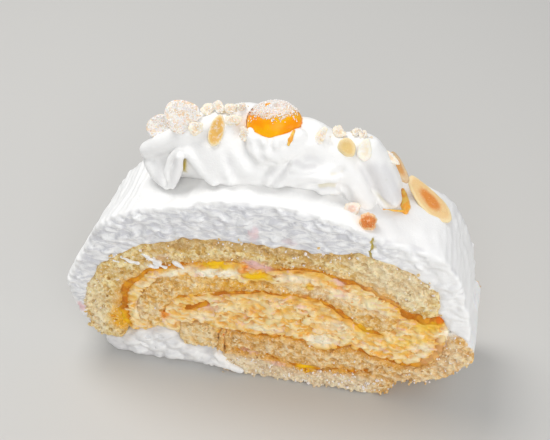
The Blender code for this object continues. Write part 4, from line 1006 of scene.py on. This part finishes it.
class Layer:
    """One layer of the roll, from its outline in the cut plane to a finished piece."""

    def __init__(self, name, slab, relief, rough, rounding, margin=1.3):
        self.name, self.flat = name, FLAT[name]
        self.window = window_of(self.flat, margin)
        self.axes = (XS[self.window[0]], slab.ys, ZS[self.window[1]])
        self.volume = slab_volume(slab, self.flat, self.window, relief(self.window), rough, rounding)

    def scatter(self, inset, density, depths, seed):
        """Random places on both cut faces at a range of depths, and the generator for more draws."""
        rng = np.random.default_rng(seed)
        (x0, x1), (z0, z1) = ((axis[0], axis[-1]) for axis in (self.axes[0], self.axes[2]))
        count = int((x1 - x0) * (z1 - z0) * density * 2)
        x, z = rng.uniform(x0, x1, count), rng.uniform(z0, z1, count)
        y = (HALF_DEPTH - rng.uniform(*depths, count)) * rng.choice((-1, 1), count)
        keep = look_up(self.flat + inset, x, z) < 0.0
        return np.stack([x, y, z], axis=1)[keep], rng

    def stamp(self, places, sizes, carve, stretch=(1, 1, 1), tilt=0.0):
        stamp(self.volume, self.axes, places, sizes, carve, stretch, tilt)

    def stamp_leaning(self, places, sizes, carve, stretch, rng, spread=0.5):
        """Stamp lumps in three groups that lean to different sides."""
        for group, lean in enumerate((-spread, 0.1, spread)):
            part = slice(group, None, 3)
            self.stamp(places[part], sizes[part], carve, stretch, lean + rng.uniform(-0.1, 0.1))

    def stamp_lobes(self, rows, sink, stretch, tilt):
        """Stamp lobes of x, z and radius on both cut faces, each sunk by its own amount."""
        for (x, z, size), inset in zip(rows, sink):
            for y in (inset - HALF_DEPTH, HALF_DEPTH - inset):
                self.stamp([(x, y, z)], [size], False, stretch, tilt)

    def stamp_sides(self, seed):
        """Lumps and pores on the sides of a sheet that no other layer covers."""
        rng = np.random.default_rng(seed)
        ix, iz = np.nonzero((np.abs(self.flat[self.window]) < STEP) & (WHOLE[self.window] > -0.5))
        if not len(ix):
            return
        picks = rng.integers(0, len(ix), len(ix) * 4)
        x, z = self.axes[0][ix[picks]], self.axes[2][iz[picks]]
        y = rng.uniform(-HALF_DEPTH, HALF_DEPTH, len(picks))
        places = np.stack([x + rng.normal(0, 0.2, len(x)), y, z + rng.normal(0, 0.2, len(x))], axis=1)
        places = places[places[:, 0] < BARE_END]
        half = len(places) // 2
        self.stamp(places[:half], rng.uniform(0.3, 0.6, half), False, (1, 1.6, 1))
        self.stamp(places[half:], rng.uniform(0.3, 0.7, len(places) - half), True, (1, 1.6, 1))

    def tear_cream(self, seed):
        """Torn lumps and small air holes on the cut faces of cream."""
        places, rng = self.scatter(2.2, 0.10, (0.6, 1.5), seed)
        self.stamp_leaning(places, rng.uniform(0.6, 1.3, len(places)), False, (2.0, 1, 0.8), rng, 0.4)
        places, rng = self.scatter(0.6, 0.20, (0.1, 0.7), seed + 1)
        self.stamp_leaning(places, rng.uniform(0.2, 0.6, len(places)), True, (2.2, 1, 0.7), rng)
        self.volume = soften(self.volume)

    def stand(self):
        """Cut off what was stamped below the floor."""
        np.maximum(self.volume, -self.axes[2][None, None, :].astype(np.float32), out=self.volume)

    def finish(self, ending, adaptivity, look, slot, jam_reach, mean_depth, extra=None):
        """Mesh the volume, and give the piece its values, taper, material and body."""
        piece = skin(self.name + ending, self.volume, self.axes, adaptivity)
        x, y, z, depth, near_face, values = section_values(piece, jam_reach, mean_depth)
        if extra:
            values.update(extra(x, y, z, depth, near_face, values))
        paint(piece, values)
        tapered(piece)
        settle(piece, look, slot, self.name)


def make_sponge(name, tone, slab):
    """One sheet of sponge with an open crumb on its cut faces and bare sides."""
    layer = Layer(name, slab, sponge_relief, (0.22, 0.13), 0.35)
    places, rng = layer.scatter(0.0, 1.6, (0.3, 1.0), 100 + len(name))
    layer.stamp(places, rng.uniform(0.2, 0.45, len(places)), False)
    places, rng = layer.scatter(0.2, 0.9, (0.15, 0.8), 200 + len(name))
    layer.stamp(places, rng.gamma(3.6, 0.085, len(places)).clip(0.15, 0.65), True, (1.3, 0.8, 0.85))
    if slab is SHOWN:
        layer.stamp_sides(300 + len(name))
    layer.stand()
    layer.finish("_crumb", 0.09, sponge_look(name + "_look", tone), "sponge", 2.6, 0.6)


def make_mousse():
    """Torn mango mousse that droops over the sheets below it."""
    layer = Layer("mousse", HIDDEN, mousse_relief, (0.32, 0.22), 0.45, 2.4)
    places, rng = layer.scatter(0.2, 0.22, (0.25, 1.3), 400)
    layer.stamp_leaning(places, rng.uniform(0.3, 0.75, len(places)), False, (2.1, 1, 0.8), rng)
    places, rng = layer.scatter(0.3, 0.30, (0.1, 0.9), 401)
    layer.stamp_leaning(places, rng.uniform(0.25, 0.6, len(places)), True, (2.0, 1, 0.7), rng)
    layer.stamp_lobes(MOUSSE_LOBES, [0.9] * len(MOUSSE_LOBES), (1.25, 0.7, 0.9), -0.2)
    layer.finish("_torn", 0.28, mousse_look("mousse_look"), "mousse", 1.3, 0.8)


def make_jam(name):
    """Jam line that sinks and swells; short flecks stand nearer the cut face."""
    mean, sway = JAM_DEPTHS.get(name, JAM_DEPTHS["other"])

    @both_faces
    def relief(x, z, s):
        return mean + sway * (grain(x / 3.4, z / 2.6, 19 + s) + 0.4 * grain(x / 1.3, z / 1.1, 20 + s))

    layer = Layer(name, HIDDEN, relief, (0.22, 0.1), 0.4)
    layer.volume = soften(layer.volume)
    layer.finish("_wet", 0.04, jam_look(name + "_look"), "jam", 0.0, 0.8)


def make_foot():
    """Lump of cream squeezed out under the left end of the roll."""
    layer = Layer("cream_foot", SHOWN, lambda window: [0.75 + 0.75 * part for part in cream_relief(window)],
                  (0.10, 0.06), 1.6)
    layer.stamp_lobes(FOOT_LOBES, [0.9 * size for x, z, size in FOOT_LOBES], (1.7, 1, 0.9), 0.25)
    layer.tear_cream(402)
    layer.stand()
    # Painted shade: the foot's cut faces are greyed a little, as cut cream is.
    layer.finish("_smeared", 0.02, cream_look("cream_foot_look", 0.06), "cream", 0.0, 0.7,
                 lambda x, y, z, depth, near_face, values: {"cut": near_face * 0.4})


def make_coat():
    """Cream coat: comb ridges down the flanks, smoothed top, torn cut faces and a crack."""
    layer = Layer("cream_coat", SHOWN, cream_relief, (0.14, 0.08), 0.9, 1.6)
    layer.tear_cream(404)
    outer, run, length = line_run(smooth_line(COAT_LINE, step=1.0))
    far, run, x = (flat[layer.window][:, None, :] for flat in (outer, run, GX))
    flank = smooth_step(RIDGES_LEFT - x, 0, RIDGE_FADE) + smooth_step(x - RIDGES_RIGHT, 0, RIDGE_FADE)
    ends = np.clip(np.minimum(run, length - run) / 3, 0, 1)
    drift = 0.9 * volume_noise(layer.axes, (26, 11, 26), 20)
    strength = 0.70 + 0.5 * volume_noise(layer.axes, (7, 9, 7), 21)
    wave = 0.5 - 0.5 * np.cos(2 * math.pi * (run + drift) / RIDGE_PITCH)
    rise = RIDGE_HEIGHT * wave * flank * ends * strength * (1 - 0.4 * smooth_step(x, 30, 40))
    sag = COAT_SAG * (0.5 + 0.5 * volume_noise(layer.axes, (8, 7, 8), 22))
    layer.volume += ((sag - rise) * np.exp(-(far / 1.6) ** 2)).astype(np.float32)
    carve_crack(layer.volume, layer.axes)

    def extra(x, y, z, depth, near_face, values):
        inside = look_up(outer, x, z)
        split = smooth_step(np.abs(x - CRACK_PLACE[0] - crack_bend(z)), 1.3, 0.7)
        split *= smooth_step(depth, 0.5, 1.3)
        half = CRACK_SIZE[2] / 2
        split *= (y < 0) * smooth_step(np.abs(z - CRACK_PLACE[2]), half + 0.8, half)
        # Painted shade on the top of the right shoulder, away from the cut faces.
        shade = 0.35 * smooth_step(x, 18, 34) * smooth_step(z, 47, 54) * (1 - near_face)
        # Painted shade that greys the cut faces, fading out towards the right end.
        return {"cut": near_face * smooth_step(inside, 0.5, 1.8) * (1 - 0.85 * smooth_step(x, 24, 46)),
                "soak_and_shade": split * smooth_step(inside, 0.7, 1.5), "painted_shade": np.maximum(values["painted_shade"], shade)}

    layer.finish("_spread", 0.03, cream_look("cream_coat_look"), "cream", 0.0, 0.7, extra)


def strands(name, lines, look, slot, rough=0.12):
    """Drops, threads and smears: thick lines with an uneven surface."""
    rows = [row for line in lines for row in line]
    low, high = np.min(rows, axis=0)[:3] - STRAND_ROOM, np.max(rows, axis=0)[:3] + STRAND_ROOM
    axes = tuple(np.arange(a, b, STRAND_STEP) for a, b in zip(low, high))
    volume = np.minimum.reduce([fold_distance(line, axes) for line in lines])
    volume = volume + rough * volume_noise(axes, (0.9, 0.8, 0.8), 25)
    volume = volume + rough * volume_noise(axes, (2.4, 1.5, 1.8), 26)
    np.maximum(volume, -axes[2][None, None, :], out=volume)
    piece = skin(name, volume.astype(np.float32), axes, 0.0)
    paint(piece, dict.fromkeys(("cut", "painted_shade", "soak_and_shade", "pink"), np.zeros(len(piece.data.vertices))))
    settle(piece, look, slot)


def make_smears():
    """Cream dragged over the sponge by the knife, cream at the base's foot, and torn crumb beside it."""
    lines = [[(x, SMEAR_FRONT, z, SMEAR_THIN * size) for x, z, size in row] for row in CREAM_SMEARS]
    strands("cream_smears", lines, cream_look("cream_smears_look", 0.08), "cream", 0.45)
    strands("cream_toe", TOE_CREAM, cream_look("cream_toe_look", 0.06), "cream", 0.3)
    for name, side in (("seam_front", -1), ("seam_back", 1)):
        line = [(x, side * y, z, size) for x, y, z, size in SEAM_ROWS]
        strands(name, [line], sponge_look(name + "_look", TONES["seam"]), "sponge", 0.45)


def make_specks():
    """Specks of cream left on the cut sponge and a sugary bloom on the lowest sheet, in one mesh."""
    rng = np.random.default_rng(430)
    x, z = rng.uniform(-56, 58, 26000), rng.uniform(0.4, 56, 26000)
    cream = look_up(FLAT["cream_coat"], x, z)
    chance = 0.30 * smooth_step(cream, 3.5, 0.3) * (0.35 + smooth_step(x, 4, 14) * smooth_step(x, 30, 20))
    chance += 0.55 * smooth_step(z, 7.5, 5.0) * smooth_step(x, -14, -8) * smooth_step(x, 42, 30)
    near = smooth_step(np.hypot((x + 33) / 2, z - 39.5), 3, 1)
    chance += 0.02 + 0.40 * near + 0.12 * smooth_step(x, 36, 50)
    chance *= 2.2 * smooth_step(grain(x / 2.4, z / 1.9, 45), 0.0, 0.25)
    keep = (look_up(SPONGE_NEAR, x, z) < 0.3) & (rng.uniform(0, 1, len(x)) < chance)
    x, z = x[keep], z[keep]
    y = rng.choice((-1, 1), len(x)) * (HALF_DEPTH - rng.uniform(0.25, 0.65, len(x)))
    sizes = rng.gamma(4.0, 0.085, len(x)).clip(0.2, 0.7)
    look = powder_look("specks_look", 1.4, (0.42, 0.58), (0.96, 0.90, 0.80), (0.92, 0.84, 0.82), 0.6,
                       (1.0, 0.9, 0.8))
    tapered(crystals("cream_specks", np.stack([x, y, z], axis=1), sizes, 431, look, "cream"))


def make_crumbs():
    """Loose crumbs caught where the sponge meets the cream, all in one mesh."""
    rng = np.random.default_rng(420)
    x, z = rng.uniform(-56, 58, 6000), rng.uniform(2, 56, 6000)
    edge = look_up(SPONGE_NEAR, x, z)
    keep = (edge > 0.05) & (edge < 1.0) & (look_up(FLAT["cream_coat"], x, z) < -0.3)
    stray = (edge > 0) & (look_up(WHOLE, x, z) < -1) & (rng.uniform(0, 1, len(x)) < 0.003)
    keep = (keep & (rng.uniform(0, 1, len(x)) < 0.7)) | stray
    x, z = x[keep], z[keep]
    y = rng.choice((-1, 1), len(x)) * (HALF_DEPTH - 0.55 - rng.uniform(0, 0.3, len(x)))
    sizes = rng.uniform(0.3, 0.75, len(x))
    look = sponge_look("crumbs_look", TONES["crumbs"])
    tapered(crystals("crumbs", np.stack([x, y, z], axis=1), sizes, 421, look, "sponge"))


def crack_bend(z):
    """Sideways run of the split at a height."""
    along = z - CRACK_PLACE[2]
    return 0.07 * along + 0.28 * np.sin(along * 1.9) + 0.16 * np.sin(along * 4.3 + 1.0)


def carve_crack(volume, axes):
    """Narrow jagged split in the front face."""
    cx, cy, cz = CRACK_PLACE
    x, y, z = axes[0][:, None, None], axes[1][None, :, None], axes[2][None, None, :]
    along = z - cz
    across = np.abs(x - cx - crack_bend(z)) - CRACK_SIZE[0] / 2 * (0.8 - 0.1 * along / 4.6)
    gap = np.maximum(np.maximum(across, np.abs(along) - CRACK_SIZE[2] / 2 - 0.4), y - cy - CRACK_SIZE[1] / 2)
    np.maximum(volume, -gap.astype(np.float32), out=volume)


def fold_distance(rows, axes):
    """Distance from one rounded fold that tapers along its line."""
    x, y, z = axes[0][:, None, None], axes[1][None, :, None], axes[2][None, None, :]
    line = smooth_line(rows, step=1.6)
    best = np.full([len(axis) for axis in axes], 1e3, np.float32)
    for a, b in zip(line, line[1:]):
        e = b - a
        size = float(e[:3] @ e[:3])
        t = np.clip(((x - a[0]) * e[0] + (y - a[1]) * e[1] + (z - a[2]) * e[2]) / size, 0, 1)
        far = np.sqrt((x - a[0] - t * e[0]) ** 2 + (y - a[1] - t * e[1]) ** 2 + (z - a[2] - t * e[2]) ** 2)
        best = np.minimum(best, (far - a[3] - t * e[3]).astype(np.float32))
    return best


def part_window(rows, axes, margin):
    """Part of a volume that holds a fold and a margin round it."""
    rows = np.asarray(rows, float)
    reach = rows[:, 3].max() + margin
    return tuple(slice(*np.searchsorted(axis, (at.min() - reach, at.max() + reach)))
                 for axis, at in zip(axes, rows.T))


def line_strength(places, lines, falloff):
    """Strength of a set of lines at many places: rows of strength, reach and the points of the line."""
    total = np.zeros(len(places))
    for strength, reach, rows in lines:
        best = np.full(len(places), 1e3)
        for a, b in zip(np.array(rows, float), np.array(rows[1:], float)):
            t = np.clip((places - a) @ (b - a) / ((b - a) @ (b - a)), 0, 1)
            best = np.minimum(best, np.linalg.norm(places - a - t[:, None] * (b - a), axis=1))
        total = np.maximum(total, strength * smooth_step(best, reach, falloff * reach))
    return total


def make_piping():
    """Ruffled rope of piped cream with soft lobes and kept creases."""
    step = STEP * 1.05
    axes = tuple(np.arange(*ends, step) for ends in PIPED_SPACE)
    volume = np.full([len(axis) for axis in axes], 3.0, np.float32)

    def fold(rows, window):
        return fold_distance(rows, tuple(axis[part] for axis, part in zip(axes, window)))

    for name, rows in CREAM_FOLDS.items():
        window = part_window(rows, axes, 3.0)
        volume[window] = smooth_min(volume[window], fold(rows, window), FOLD_BLENDS.get(name, SHARP_BLEND))
    window = part_window(FOLD_HOLLOW, axes, 2.0)
    volume[window] = smooth_max(volume[window], -fold(FOLD_HOLLOW, window), SHARP_BLEND)
    volume[window] = smooth_min(volume[window], fold(FOLD_LEAF, window), SHARP_BLEND)
    for depth, width, places in FOLD_LINES:
        rows = [(*place, 0.0) for place in places]
        window = part_window(rows, axes, 2.5 * width)
        volume[window] += depth * np.exp(-(fold(rows, window) / width) ** 2)
    volume += noise_sum(axes, (0.12, (3.0, 3.0, 3.0), 23), (0.09, (1.6, 1.6, 1.6), 28))
    volume += 0.03 * volume_noise(axes, (0.9, 0.9, 0.9), 24)
    seat = outline_distance(smooth_line(COAT_LINE + [(50, 20), (-50, 16)], True))
    gx, gz = np.meshgrid(axes[0], axes[2], indexing="ij")
    under = np.where(gz > ZS[-1] - 1, 3.0, look_up(seat, gx, gz))
    volume = np.maximum(volume, -(under + SEAT_DEPTH)[:, None, :])
    stamp(volume, axes, [dab[:3] for dab in RIM_DABS], [dab[3] for dab in RIM_DABS], False, (1.2, 1, 0.9))
    stamp(volume, axes, [BERRY_PLACE], [BERRY_SEAT], True, [axis / BERRY_SEAT for axis in BERRY_AXES])
    piece = skin("piped_cream_ruffle", volume, axes, 0.02)
    places = places_of(piece)
    # Painted shade on the piped cream: grey along the creases and on shaded faces, olive along the hollow and
    # dents.
    creases = [(CREASE_SHADE, 0.9 * width, rows) for depth, width, rows in FOLD_LINES if depth > 0]
    none = np.zeros(len(places))
    paint(piece, {"soak_and_shade": line_strength(places, FOLD_OLIVE_SHADES, 0.3),
                  "painted_shade": line_strength(places, FOLD_SHADES + creases, 0.2), "cut": none, "pink": none})
    settle(piece, cream_look("piped_cream_look"), "cream", "piped_cream")


def make_drips():
    """Orange drip at the berry and the glaze under the long almond."""
    look = Look("glaze_look")
    colour = look.mix(look.span(look.noise(1.6, 2.0), 0.4, 0.6), (0.90, 0.40, 0.04), (0.90, 0.58, 0.12))
    material = look.finish(colour, 0.3, None, 0.3, (1.0, 0.4, 0.1), 0.8)
    for name, line in DRIPS.items():
        strands(name, [line], material, "jam")


def turned(centre, turns):
    turn_z, tip, spin = (math.radians(value) for value in turns)
    turn = Matrix.Rotation(turn_z, 4, "Z") @ Matrix.Rotation(tip, 4, "X") @ Matrix.Rotation(spin, 4, "Z")
    return np.array(Matrix.Translation(Vector(centre)) @ turn)


def ring_faces(count, spokes, base=0):
    """Triangles of a closed shape of stacked rings, whose last two corners are its ends."""
    i = np.arange(spokes)
    j = (i + 1) % spokes
    a, b = (base + spokes * np.arange(count - 1)[:, None] + at for at in (i, j))
    walls = np.stack([a, b + spokes, b, a, a + spokes, b + spokes], axis=-1)
    last, end = base + (count - 1) * spokes, base + count * spokes + 0 * i
    caps = np.stack([end, base + i, base + j, end + 1, last + j, last + i], axis=-1)
    return np.vstack([walls.reshape(-1, 3), caps.reshape(-1, 3)])


def bowed(x, y, length, width):
    """Height of a slice's middle sheet: it curls up along its length and down across it."""
    return 0.5 * (x / length) ** 2 * 4 - 0.4 * (y / width) ** 2


def flake_mesh(name, rows, seed, narrowing=POINTED):
    """Almond slices: egg-shaped plates, slightly bowed, with a rounded rim."""
    places, faces, radial = [], [], []
    base = 0
    for n, (centre, length, width, turns) in enumerate(rows):
        large = length > LARGE_FLAKE
        rings, spokes, thick, uneven = (16, 72, FLAKE_THICK, 0.05) if large else (9, 36, CHIP_THICK, 0.20)
        angle = np.arange(spokes) * 2 * math.pi / spokes
        wobble = 1 + uneven * grain(np.cos(angle) * 1.6 + 7 * n, np.sin(angle) * 1.6, seed + n)
        edge_x = length / 2 * np.cos(angle) * wobble
        edge_y = width / 2 * np.sin(angle) * (1 - narrowing * np.cos(angle)) * wobble
        r = np.sin(np.linspace(0, math.pi / 2, rings + 1))[1:]
        sheet = []
        for sign, ring in [(1, ring) for ring in r] + [(-1, ring) for ring in r[:-1][::-1]]:
            x, y = edge_x * ring, edge_y * ring
            dent = 0.10 * grain(x / 1.6 + 11 * n, y / 1.6, seed + 50 + n)
            z = sign * thick / 2 * math.sqrt(max(0.0, 1 - ring ** 6)) + bowed(x, y, length, width) + dent
            sheet.append(np.stack([x, y, z], axis=1))
            radial += [ring] * spokes
        radial += [0.0, 0.0]
        local = np.vstack(sheet + [[[0, 0, thick / 2], [0, 0, -thick / 2]]])
        turn = turned(centre, turns)
        places.append(local @ turn[:3, :3].T + turn[:3, 3])
        faces.append(ring_faces(len(sheet), spokes, base))
        base += len(local)
    piece = mesh_object(name, np.vstack(places), np.vstack(faces))
    paint(piece, {"radial": radial})
    return piece


def almond_look(name, rim, body, heart, heart_reach, dust):
    """Cut almond: skin-brown rim line, pale body and toasted heart, dusted with sugar."""
    look = Look(name)
    radial = look.value("radial")
    wave = look.add(radial, look.math("SUBTRACT", look.noise(2.5, 3.0), 0.5), 0.35)
    fine = look.noise(0.4, 3.0, shift=6.0)
    lit = tuple(min(1.0, c * 1.25 + 0.05) for c in body)
    powder = look.span(look.noise(0.9, 4.0, shift=9.0), 0.62 - 0.3 * dust, 0.78 - 0.3 * dust, 0.0,
                       min(1.0, dust * 1.2))
    colour = look.layers(
        look.mix(look.span(wave, heart_reach, heart_reach + 0.36), heart, body),
        (look.span(radial, 0.78, 0.95, 0.0, 0.85), rim),
        (look.span(fine, 0.55, 0.75, 0.0, 0.4), lit),
        (powder, (0.95, 0.92, 0.90)))
    return look.finish(colour, 0.55, look.bump(fine, 0.12), 0.3, (1.0, 0.7, 0.4), 1.0)


def make_berry():
    """Smooth golden berry, a little uneven, dimpled near its top left."""
    rings, spokes = 90, 140
    polar = np.linspace(0, math.pi, rings + 1)[1:-1]
    angle = np.arange(spokes) * 2 * math.pi / spokes
    p, a = np.meshgrid(polar, angle, indexing="ij")
    unit = np.stack([np.sin(p) * np.cos(a), np.sin(p) * np.sin(a), np.cos(p)], axis=-1).reshape(-1, 3)
    unit = np.vstack([unit, [[0, 0, 1], [0, 0, -1]]])
    dimple, scar = (np.exp(-np.sum((unit - at) ** 2, axis=1) / 0.02)
                    for at in ((-0.35, -0.55, 0.76), (-0.16, 0.06, 0.98)))
    swell = 1 + 0.012 * grain(unit[:, 0] * 2.2 + 5, unit[:, 2] * 2.2 + unit[:, 1], 80) - 0.05 * dimple
    local = unit * np.array(BERRY_AXES) * swell[:, None] * 0.995
    tilt = np.array(Matrix.Rotation(math.radians(-6), 3, "Y"))
    places = local @ tilt.T + np.array(BERRY_PLACE)
    piece = mesh_object("golden_berry_skin", places, ring_faces(rings - 1, spokes))
    look = Look("berry_look")
    fine = look.noise(0.35, 3.0)
    grains = look.span(look.add(fine, look.value("sugar"), 0.42), 0.70, 0.82)
    skin_colour = look.mix(look.span(look.noise(5.0, 2.0), 0.35, 0.65), (0.98, 0.32, 0.0), (1.0, 0.48, 0.0))
    colour = look.mix(grains, skin_colour, (0.95, 0.76, 0.62))
    rough, height = look.span(grains, 0.0, 1.0, 0.3, 0.7), look.math("MULTIPLY", fine, grains)
    material = look.finish(colour, rough, look.bump(height, 0.3), 0.15, (1.0, 0.35, 0.02), 1.6, 0.2)
    shade = local[:, 2] / BERRY_AXES[2] + 0.30 * local[:, 1] / BERRY_AXES[1]
    shade += 0.14 * grain(local[:, 0] / 1.5, local[:, 1] / 1.5, 81)
    shade -= 0.8 * scar
    paint(piece, {"sugar": smooth_step(shade, 0.28, 0.85)})
    settle(piece, material, "berry", "golden_berry")
    return local, tilt, shade


def make_nut():
    """Knobbly roasted nut, red-brown in the middle."""
    shape = bmesh.new()
    bmesh.ops.create_icosphere(shape, subdivisions=5, radius=1.0)
    unit = np.array([v.co[:] for v in shape.verts])
    faces = np.array([[v.index for v in f.verts] for f in shape.faces])
    shape.free()
    knob = 0.13 * grain(unit[:, 0] * 1.6 + 3, unit[:, 2] * 1.6 + unit[:, 1], 82)
    knob += 0.07 * grain(unit[:, 0] * 4 + 9, unit[:, 2] * 4 + unit[:, 1] * 2, 83)
    places = unit * (NUT_RADIUS * (0.97 + knob))[:, None] + np.array(NUT_PLACE)
    piece = mesh_object("nut_roasted_bit", places, faces)
    look = Look("nut_look")
    fine = look.noise(0.5, 3.0, shift=3.0)
    heart = look.span(look.add(look.noise(1.6, 4.0), look.value("core"), 0.35), 0.50, 0.85)
    colour = look.layers(
        look.mix(heart, (0.92, 0.62, 0.34), (0.72, 0.22, 0.03)),
        (look.span(fine, 0.55, 0.72, 0.0, 0.7), (0.97, 0.74, 0.50)))
    material = look.finish(colour, 0.4, look.bump(fine, 0.3), 0.3, (1.0, 0.4, 0.2), 1.0)
    paint(piece, {"core": smooth_step(unit @ np.array([0.1, -0.75, 0.65]), 0.3, 0.95)})
    settle(piece, material, "nut", "nut_roasted")


def crystals(name, places, sizes, seed, look, slot):
    """Small angular grains, all in one mesh."""
    rng = np.random.default_rng(seed)
    corner = np.array([(x, y, z) for x in (-1, 1) for y in (-1, 1) for z in (-1, 1)], float) * 0.5
    cube = np.array([(0, 1, 3), (0, 3, 2), (4, 6, 7), (4, 7, 5), (0, 4, 5), (0, 5, 1), (2, 3, 7), (2, 7, 6),
                     (0, 2, 6), (0, 6, 4), (1, 5, 7), (1, 7, 3)])
    count = len(places)
    axis = rng.normal(size=(count, 3, 3))
    turn = np.linalg.qr(axis)[0]
    turn[:, :, 0] *= np.sign(np.linalg.det(turn))[:, None]
    shape = corner[None] * rng.uniform(0.7, 1.2, (count, 1, 3)) * rng.uniform(0.8, 1.1, (count, 8, 1))
    grains = np.einsum("nij,nkj->nki", turn, shape) * np.asarray(sizes)[:, None, None]
    grains = grains + np.asarray(places)[:, None, :]
    faces = (cube[None] + 8 * np.arange(count)[:, None, None]).reshape(-1, 3)
    piece = mesh_object(name, grains.reshape(-1, 3), faces)
    piece.data.polygons.foreach_set("use_smooth", np.zeros(len(piece.data.polygons), bool))
    return settle(piece, look, slot)


def powder_look(name, size, edges, low, high, rough, glow_colour):
    """Dry grains of two close tones that let some light through."""
    look = Look(name)
    colour = look.mix(look.span(look.noise(size, 2.0), *edges), low, high)
    return look.finish(colour, rough, None, 0.2, glow_colour, 0.6)


def sugar_look(name):
    return powder_look(name, 1.0, (0.3, 0.7), (0.93, 0.90, 0.87), (0.97, 0.96, 0.95), 0.35, (1, 0.95, 0.9))


def sugar_berry(local, tilt, shade):
    """Sugar crystals on the upper side of the berry."""
    rng = np.random.default_rng(90)
    chance = smooth_step(shade, 0.25, 0.95)
    picks = rng.choice(len(local), 760, replace=False, p=chance / chance.sum())
    places = (local[picks] * 1.008) @ tilt.T + np.array(BERRY_PLACE)
    look = sugar_look("sugar_berry_look")
    crystals("sugar_berry", places, rng.uniform(0.16, 0.34, len(picks)), 91, look, "berry")


def make_chopped(look):
    """Finely chopped almond strewn round the small flakes."""
    rng = np.random.default_rng(94)
    count = 60
    centres = np.array([row[0] for row in SMALL_FLAKES[:-1]])
    near = rng.integers(0, len(centres), count)
    places = centres[near] + rng.normal(0, (1.3, 0.9, 0.25), (count, 3)) - (0, 0, 0.5)
    crystals("chopped_almond", places, rng.uniform(0.3, 0.7, count), 95, look, "almond")


def sugar_flakes():
    """Sugar crystals on the large pale slices and the small flakes."""
    rng = np.random.default_rng(92)
    places = []
    rows = [(FLAKES["almond_round"], 330), (FLAKES["almond_side"], 160)] + [(row, 26) for row in SMALL_FLAKES]
    for (centre, length, width, turns), count in rows:
        r, a = np.sqrt(rng.uniform(0, 0.9, count)), rng.uniform(0, 2 * math.pi, count)
        x, y = r * length / 2 * np.cos(a), r * width / 2 * np.sin(a) * (1 - POINTED * np.cos(a))
        z = FLAKE_THICK / 2 + bowed(x, y, length, width) + 0.02
        turn = turned(centre, turns)
        places.append(np.stack([x, y, z], axis=1) @ turn[:3, :3].T + turn[:3, 3])
    places = np.vstack(places)
    look = sugar_look("sugar_flake_look")
    crystals("sugar_flakes", places, rng.uniform(0.15, 0.3, len(places)), 93, look, "almond")


def make_stage():
    """Pale floor, soft light from above and both sides, camera at the set angle."""
    mesh = bpy.data.meshes.new("floor")
    mesh.from_pydata([(-3, -3, 0), (3, -3, 0), (3, 3, 0), (-3, 3, 0)], [], [(0, 1, 2, 3)])
    floor = link("floor", mesh)
    floor.data.materials.append(Look("floor_look").finish(FLOOR_COLOUR, 0.75))

    world = bpy.data.worlds.new("studio")
    world.use_nodes = True
    world.node_tree.nodes["Background"].inputs["Color"].default_value = WORLD_COLOUR
    world.node_tree.nodes["Background"].inputs["Strength"].default_value = WORLD_STRENGTH
    bpy.context.scene.world = world

    for name, (place, size, power, colour) in LAMPS.items():
        data = bpy.data.lights.new(name, "AREA")
        data.shape, data.size, data.energy, data.color = "DISK", size, power, colour
        lamp = link(name, data)
        lamp.location = place
        lamp.rotation_euler = (Vector(LAMPS_AIM) - Vector(place)).to_track_quat("-Z", "Y").to_euler()

    data = bpy.data.cameras.new("camera")
    data.lens, data.sensor_width = CAMERA_LENS, 36.0
    data.clip_start, data.clip_end = 0.01, 10.0
    camera = link("camera", data)
    camera.location = CAMERA_PLACE
    camera.rotation_euler = (math.radians(CAMERA_TILT), 0, math.radians(CAMERA_TURN))
    bpy.context.scene.camera = camera
    bpy.context.scene.view_settings.view_transform = "Standard"


def make_all():
    for name, slab in (("outer", SHOWN), ("inner", HIDDEN), ("base", SHOWN), ("end", SHOWN)):
        make_sponge("sponge_" + name, TONES[name], slab)
    make_mousse()
    for name in ("jam_outer", "jam_inner", "jam_base", "jam_bottom", "jam_fleck", "jam_streak"):
        make_jam(name)
    for make in (make_foot, make_coat, make_smears, make_specks, make_crumbs, make_piping, make_drips):
        make()
    for n, (name, placing) in enumerate(FLAKES.items()):
        narrowing = LONG_POINTED if name == "almond_long" else POINTED
        piece = flake_mesh(name + "_slice", [placing], 500 + 10 * n, narrowing)
        settle(piece, almond_look(name + "_look", *FLAKE_TONES[name]), "almond", name)
    look = almond_look("almond_bits_look", *BITS_TONE)
    settle(flake_mesh("almond_bits", SMALL_FLAKES, 600), look, "almond", "piped_cream")
    make_chopped(look)
    sugar_berry(*make_berry())
    sugar_flakes()
    make_nut()


make_all()
make_stage()
